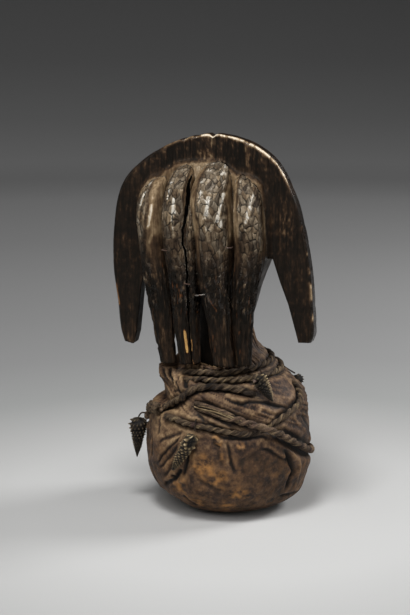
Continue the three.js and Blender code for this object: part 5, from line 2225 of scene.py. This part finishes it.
@dataclass
class Studio:
    """Camera, floor and lights, laid out from the photograph's viewing angle.

    Attributes:
        turn: degrees that the camera stands round from +Y towards -X.
        tilt: degrees that it stands above the level.
        away: its distance from the place it looks past, in millimetres.
        seen: the place that lies on its line of sight before it is aimed.
        aim: how far right and up of that place the picture's middle lies.
        lens: focal length for a 36 mm sensor.
        falloff_tones: the backdrop's colour by share of its radius, from the middle out, painting the light's falloff.
        flat: radius in metres up to which the floor is level.
        edge: radius in metres of the backdrop's edge.
        lamps: each light's name, direction as right, near and up, distance and side in metres, and power in watts.
    """

    turn: float = 16.0
    tilt: float = 12.0
    away: float = 1750.0
    seen: tuple[float, float, float] = (0.0, 8.0, 190.0)
    aim: tuple[float, float] = (-21.8, 13.5)
    lens: float = 102.44
    falloff_tones: Stops = (
        (0.045, "c1c1c0"), (0.065, "b6b6b5"), (0.092, "a4a5a4"), (0.134, "9f9f9f"), (0.187, "a2a2a2"),
        (0.25, "aaaaaa"), (0.335, "b5b5b5"), (0.447, "cbcbcb"), (0.56, "c4c4c4"), (0.615, "a8a8a8"), (0.67, "929292"),
        (0.75, "868686"),
    )
    flat: float = 2.6
    edge: float = 5.0
    lamps: tuple[tuple[str, tuple[float, float, float], float, float, float], ...] = (
        ("key_light", (0.85, -0.28, 0.62), 1.9, 0.6, 24.0), ("left_light", (-0.3, 0.75, 0.75), 1.8, 1.0, 10.0),
        ("right_fill", (0.62, 0.72, 0.32), 1.8, 1.2, 5.0), ("top_light", (-0.12, 0.42, 1.0), 1.6, 0.45, 19.0),
        ("left_wash", (-0.95, 0.25, 0.42), 1.9, 1.2, 4.0),
    )

    def directions(self) -> tuple[Array, Array, Array]:
        """The camera's directions, from its turn and its tilt.

        Returns:
            Unit directions right, towards the camera, and up across its view.
        """
        turn, tilt = math.radians(self.turn), math.radians(self.tilt)
        near = np.array([-math.sin(turn) * math.cos(tilt), math.cos(turn) * math.cos(tilt), math.sin(tilt)])
        right = np.array([-math.cos(turn), -math.sin(turn), 0.0])
        return right, near, np.cross(near, right)

    def place_camera(self) -> None:
        """Make the camera and look with it."""
        right, near, up = self.directions()
        seen = np.array(self.seen)
        stands = seen + near * self.away
        ahead = Vector(seen + right * self.aim[0] + up * self.aim[1] - stands)
        data = bpy.data.cameras.new("camera")
        data.lens = self.lens
        data.sensor_width = 36.0
        data.clip_start, data.clip_end = 0.05, 40.0
        camera = bpy.data.objects.new("camera", data)
        camera.location = Vector(stands) * MM
        camera.rotation_euler = ahead.to_track_quat("-Z", "Y").to_euler()
        bpy.context.scene.collection.objects.link(camera)
        bpy.context.scene.camera = camera

    def place_light(
        self, name: str, toward: tuple[float, float, float], away: float, size: float, power: float
    ) -> None:
        """Square soft light that faces the object.

        Args:
            name: the light's name.
            toward: its direction as right, near and up, on the level.
            away: its distance in metres.
            size: its side in metres.
            power: its power in watts.
        """
        right, near, _ = self.directions()
        level = unit(near * [1.0, 1.0, 0.0])
        heading = unit(toward[0] * right + toward[1] * level + toward[2] * np.array([0.0, 0.0, 1.0]))
        data = bpy.data.lights.new(name, "AREA")
        data.size = size
        data.energy = power
        data.color = linear("fdfdfd")[:3]
        lamp = bpy.data.objects.new(name, data)
        lamp.location = Vector(heading * away) + Vector((0.0, 0.0, 0.18))
        lamp.rotation_euler = Vector(-heading).to_track_quat("-Z", "Y").to_euler()
        bpy.context.scene.collection.objects.link(lamp)

    def lay_floor(self) -> None:
        """A round floor that turns up into a wall all round: height = 0.45 (radius - flat)^2 past flat."""
        radius = np.concatenate([np.linspace(0.05, self.flat, 14), np.linspace(self.flat + 0.1, self.edge, 24)])
        turn, radius = np.meshgrid(circle(96), radius)
        height = 0.45 * np.maximum(0.0, radius - self.flat) ** 2
        points = polar(radius, turn, height) / MM
        upwards = quads_of(*radius.shape)[:, [0, 3, 2, 1]]
        floor = mesh_of("floor", points.reshape(-1, 3), upwards.tolist() + [list(range(radius.shape[1]))])
        floor.data.materials.append(self.paper())

    def paper(self) -> bpy.types.Material:
        """Matt paper painted with the light's falloff: pale in the middle and darker towards its edge, with no shine.

        Returns:
            The material named matt_backdrop_paper.
        """
        material, tree, add, place = new_material("matt_backdrop_paper")
        fibre = add("TexNoise", {"Vector": place, "Scale": 900.0, "Detail": 2.0})
        away = add("VectorMath", {0: place}, operation="LENGTH")
        faint = add("Math", {0: fibre, 1: 0.012, 2: -0.006}, operation="MULTIPLY_ADD")
        share = add("Math", {0: away, 1: 1 / self.edge, 2: faint}, operation="MULTIPLY_ADD")
        # Painted light: the colour by distance from the middle paints the light's falloff over the floor and the wall.
        falloff_colour = ramp_of(add("ValToRGB", {"Fac": share}), self.falloff_tones)
        feed(tree, tree.nodes["Principled BSDF"], {"Base Color": falloff_colour, "Roughness": 0.92, "Specular IOR Level": 0.2})
        return material

    def build(self) -> None:
        """Camera, floor, lights and a dim even surround."""
        self.place_camera()
        self.lay_floor()
        for lamp in self.lamps:
            self.place_light(*lamp)
        world = bpy.data.worlds.new("studio_surround")
        world.use_nodes = True
        feed(world.node_tree, world.node_tree.nodes["Background"], {"Color": linear("8c8c8c"), "Strength": 0.04})
        bpy.context.scene.world = world
        bpy.context.scene.view_settings.view_transform = "Standard"


# Putting it together.


def report(piece: Piece) -> None:
    """Log a piece's name and how many faces it has."""
    LOG.info("%s: %d faces", piece.name, len(piece.data.polygons))


def finish_piece(piece: Piece, material: bpy.types.Material, nodes: Sequence[str]) -> None:
    """Give a piece its finish and its place on the frame.

    Args:
        piece: the dressed piece.
        material: its finish.
        nodes: the CAD nodes that it stands for.
    """
    piece.data.materials.clear()
    piece.data.materials.append(material)
    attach(piece, "root")
    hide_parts(*nodes)
    report(piece)


def main() -> None:
    """Build the studio, then the head, then the bundle and what is tied to it."""
    logging.basicConfig(level=logging.INFO, format="%(name)s: %(message)s")
    Studio().build()
    finish_piece(CarvedHead().build(), CarvedWood().material(), ["head"])
    hide = HideBundle().build()
    finish_piece(hide, SMOKED_HIDE.material(), ["hide_bundle"])
    bast = ROLLED_BAST.material()
    for route in ROPES:
        finish_piece(TwistedRope(route).build(), bast, [route.name])
    finish_piece(RopeKnot().build(), bast, ["rope_knot"])
    for tie in TIES:
        finish_piece(ThreadTie(tie).build(), bast, [tie.name])
    # Two copies of one iron: the middle staple gets the bright copy. The others get a copy whose bare metal is painted
    # darker as shade, with less of it bare.
    rubbed, shaded_iron = RustedIron().material(), RustedIron(metal="6e675e", bare=0.42).material()
    for staple, iron in (
        ("staple_split", shaded_iron), ("staple_middle", rubbed), ("staple_left", shaded_iron), ("staple_right", shaded_iron)
    ):
        for slot in bpy.data.objects[staple].material_slots:
            slot.material = iron
    chalky = WEATHERED_SHELL.material()
    for shell in SHELLS:
        finish_piece(SpiredShell(shell).build(), chalky, [shell.name])


if __name__ == "__main__":
    main()
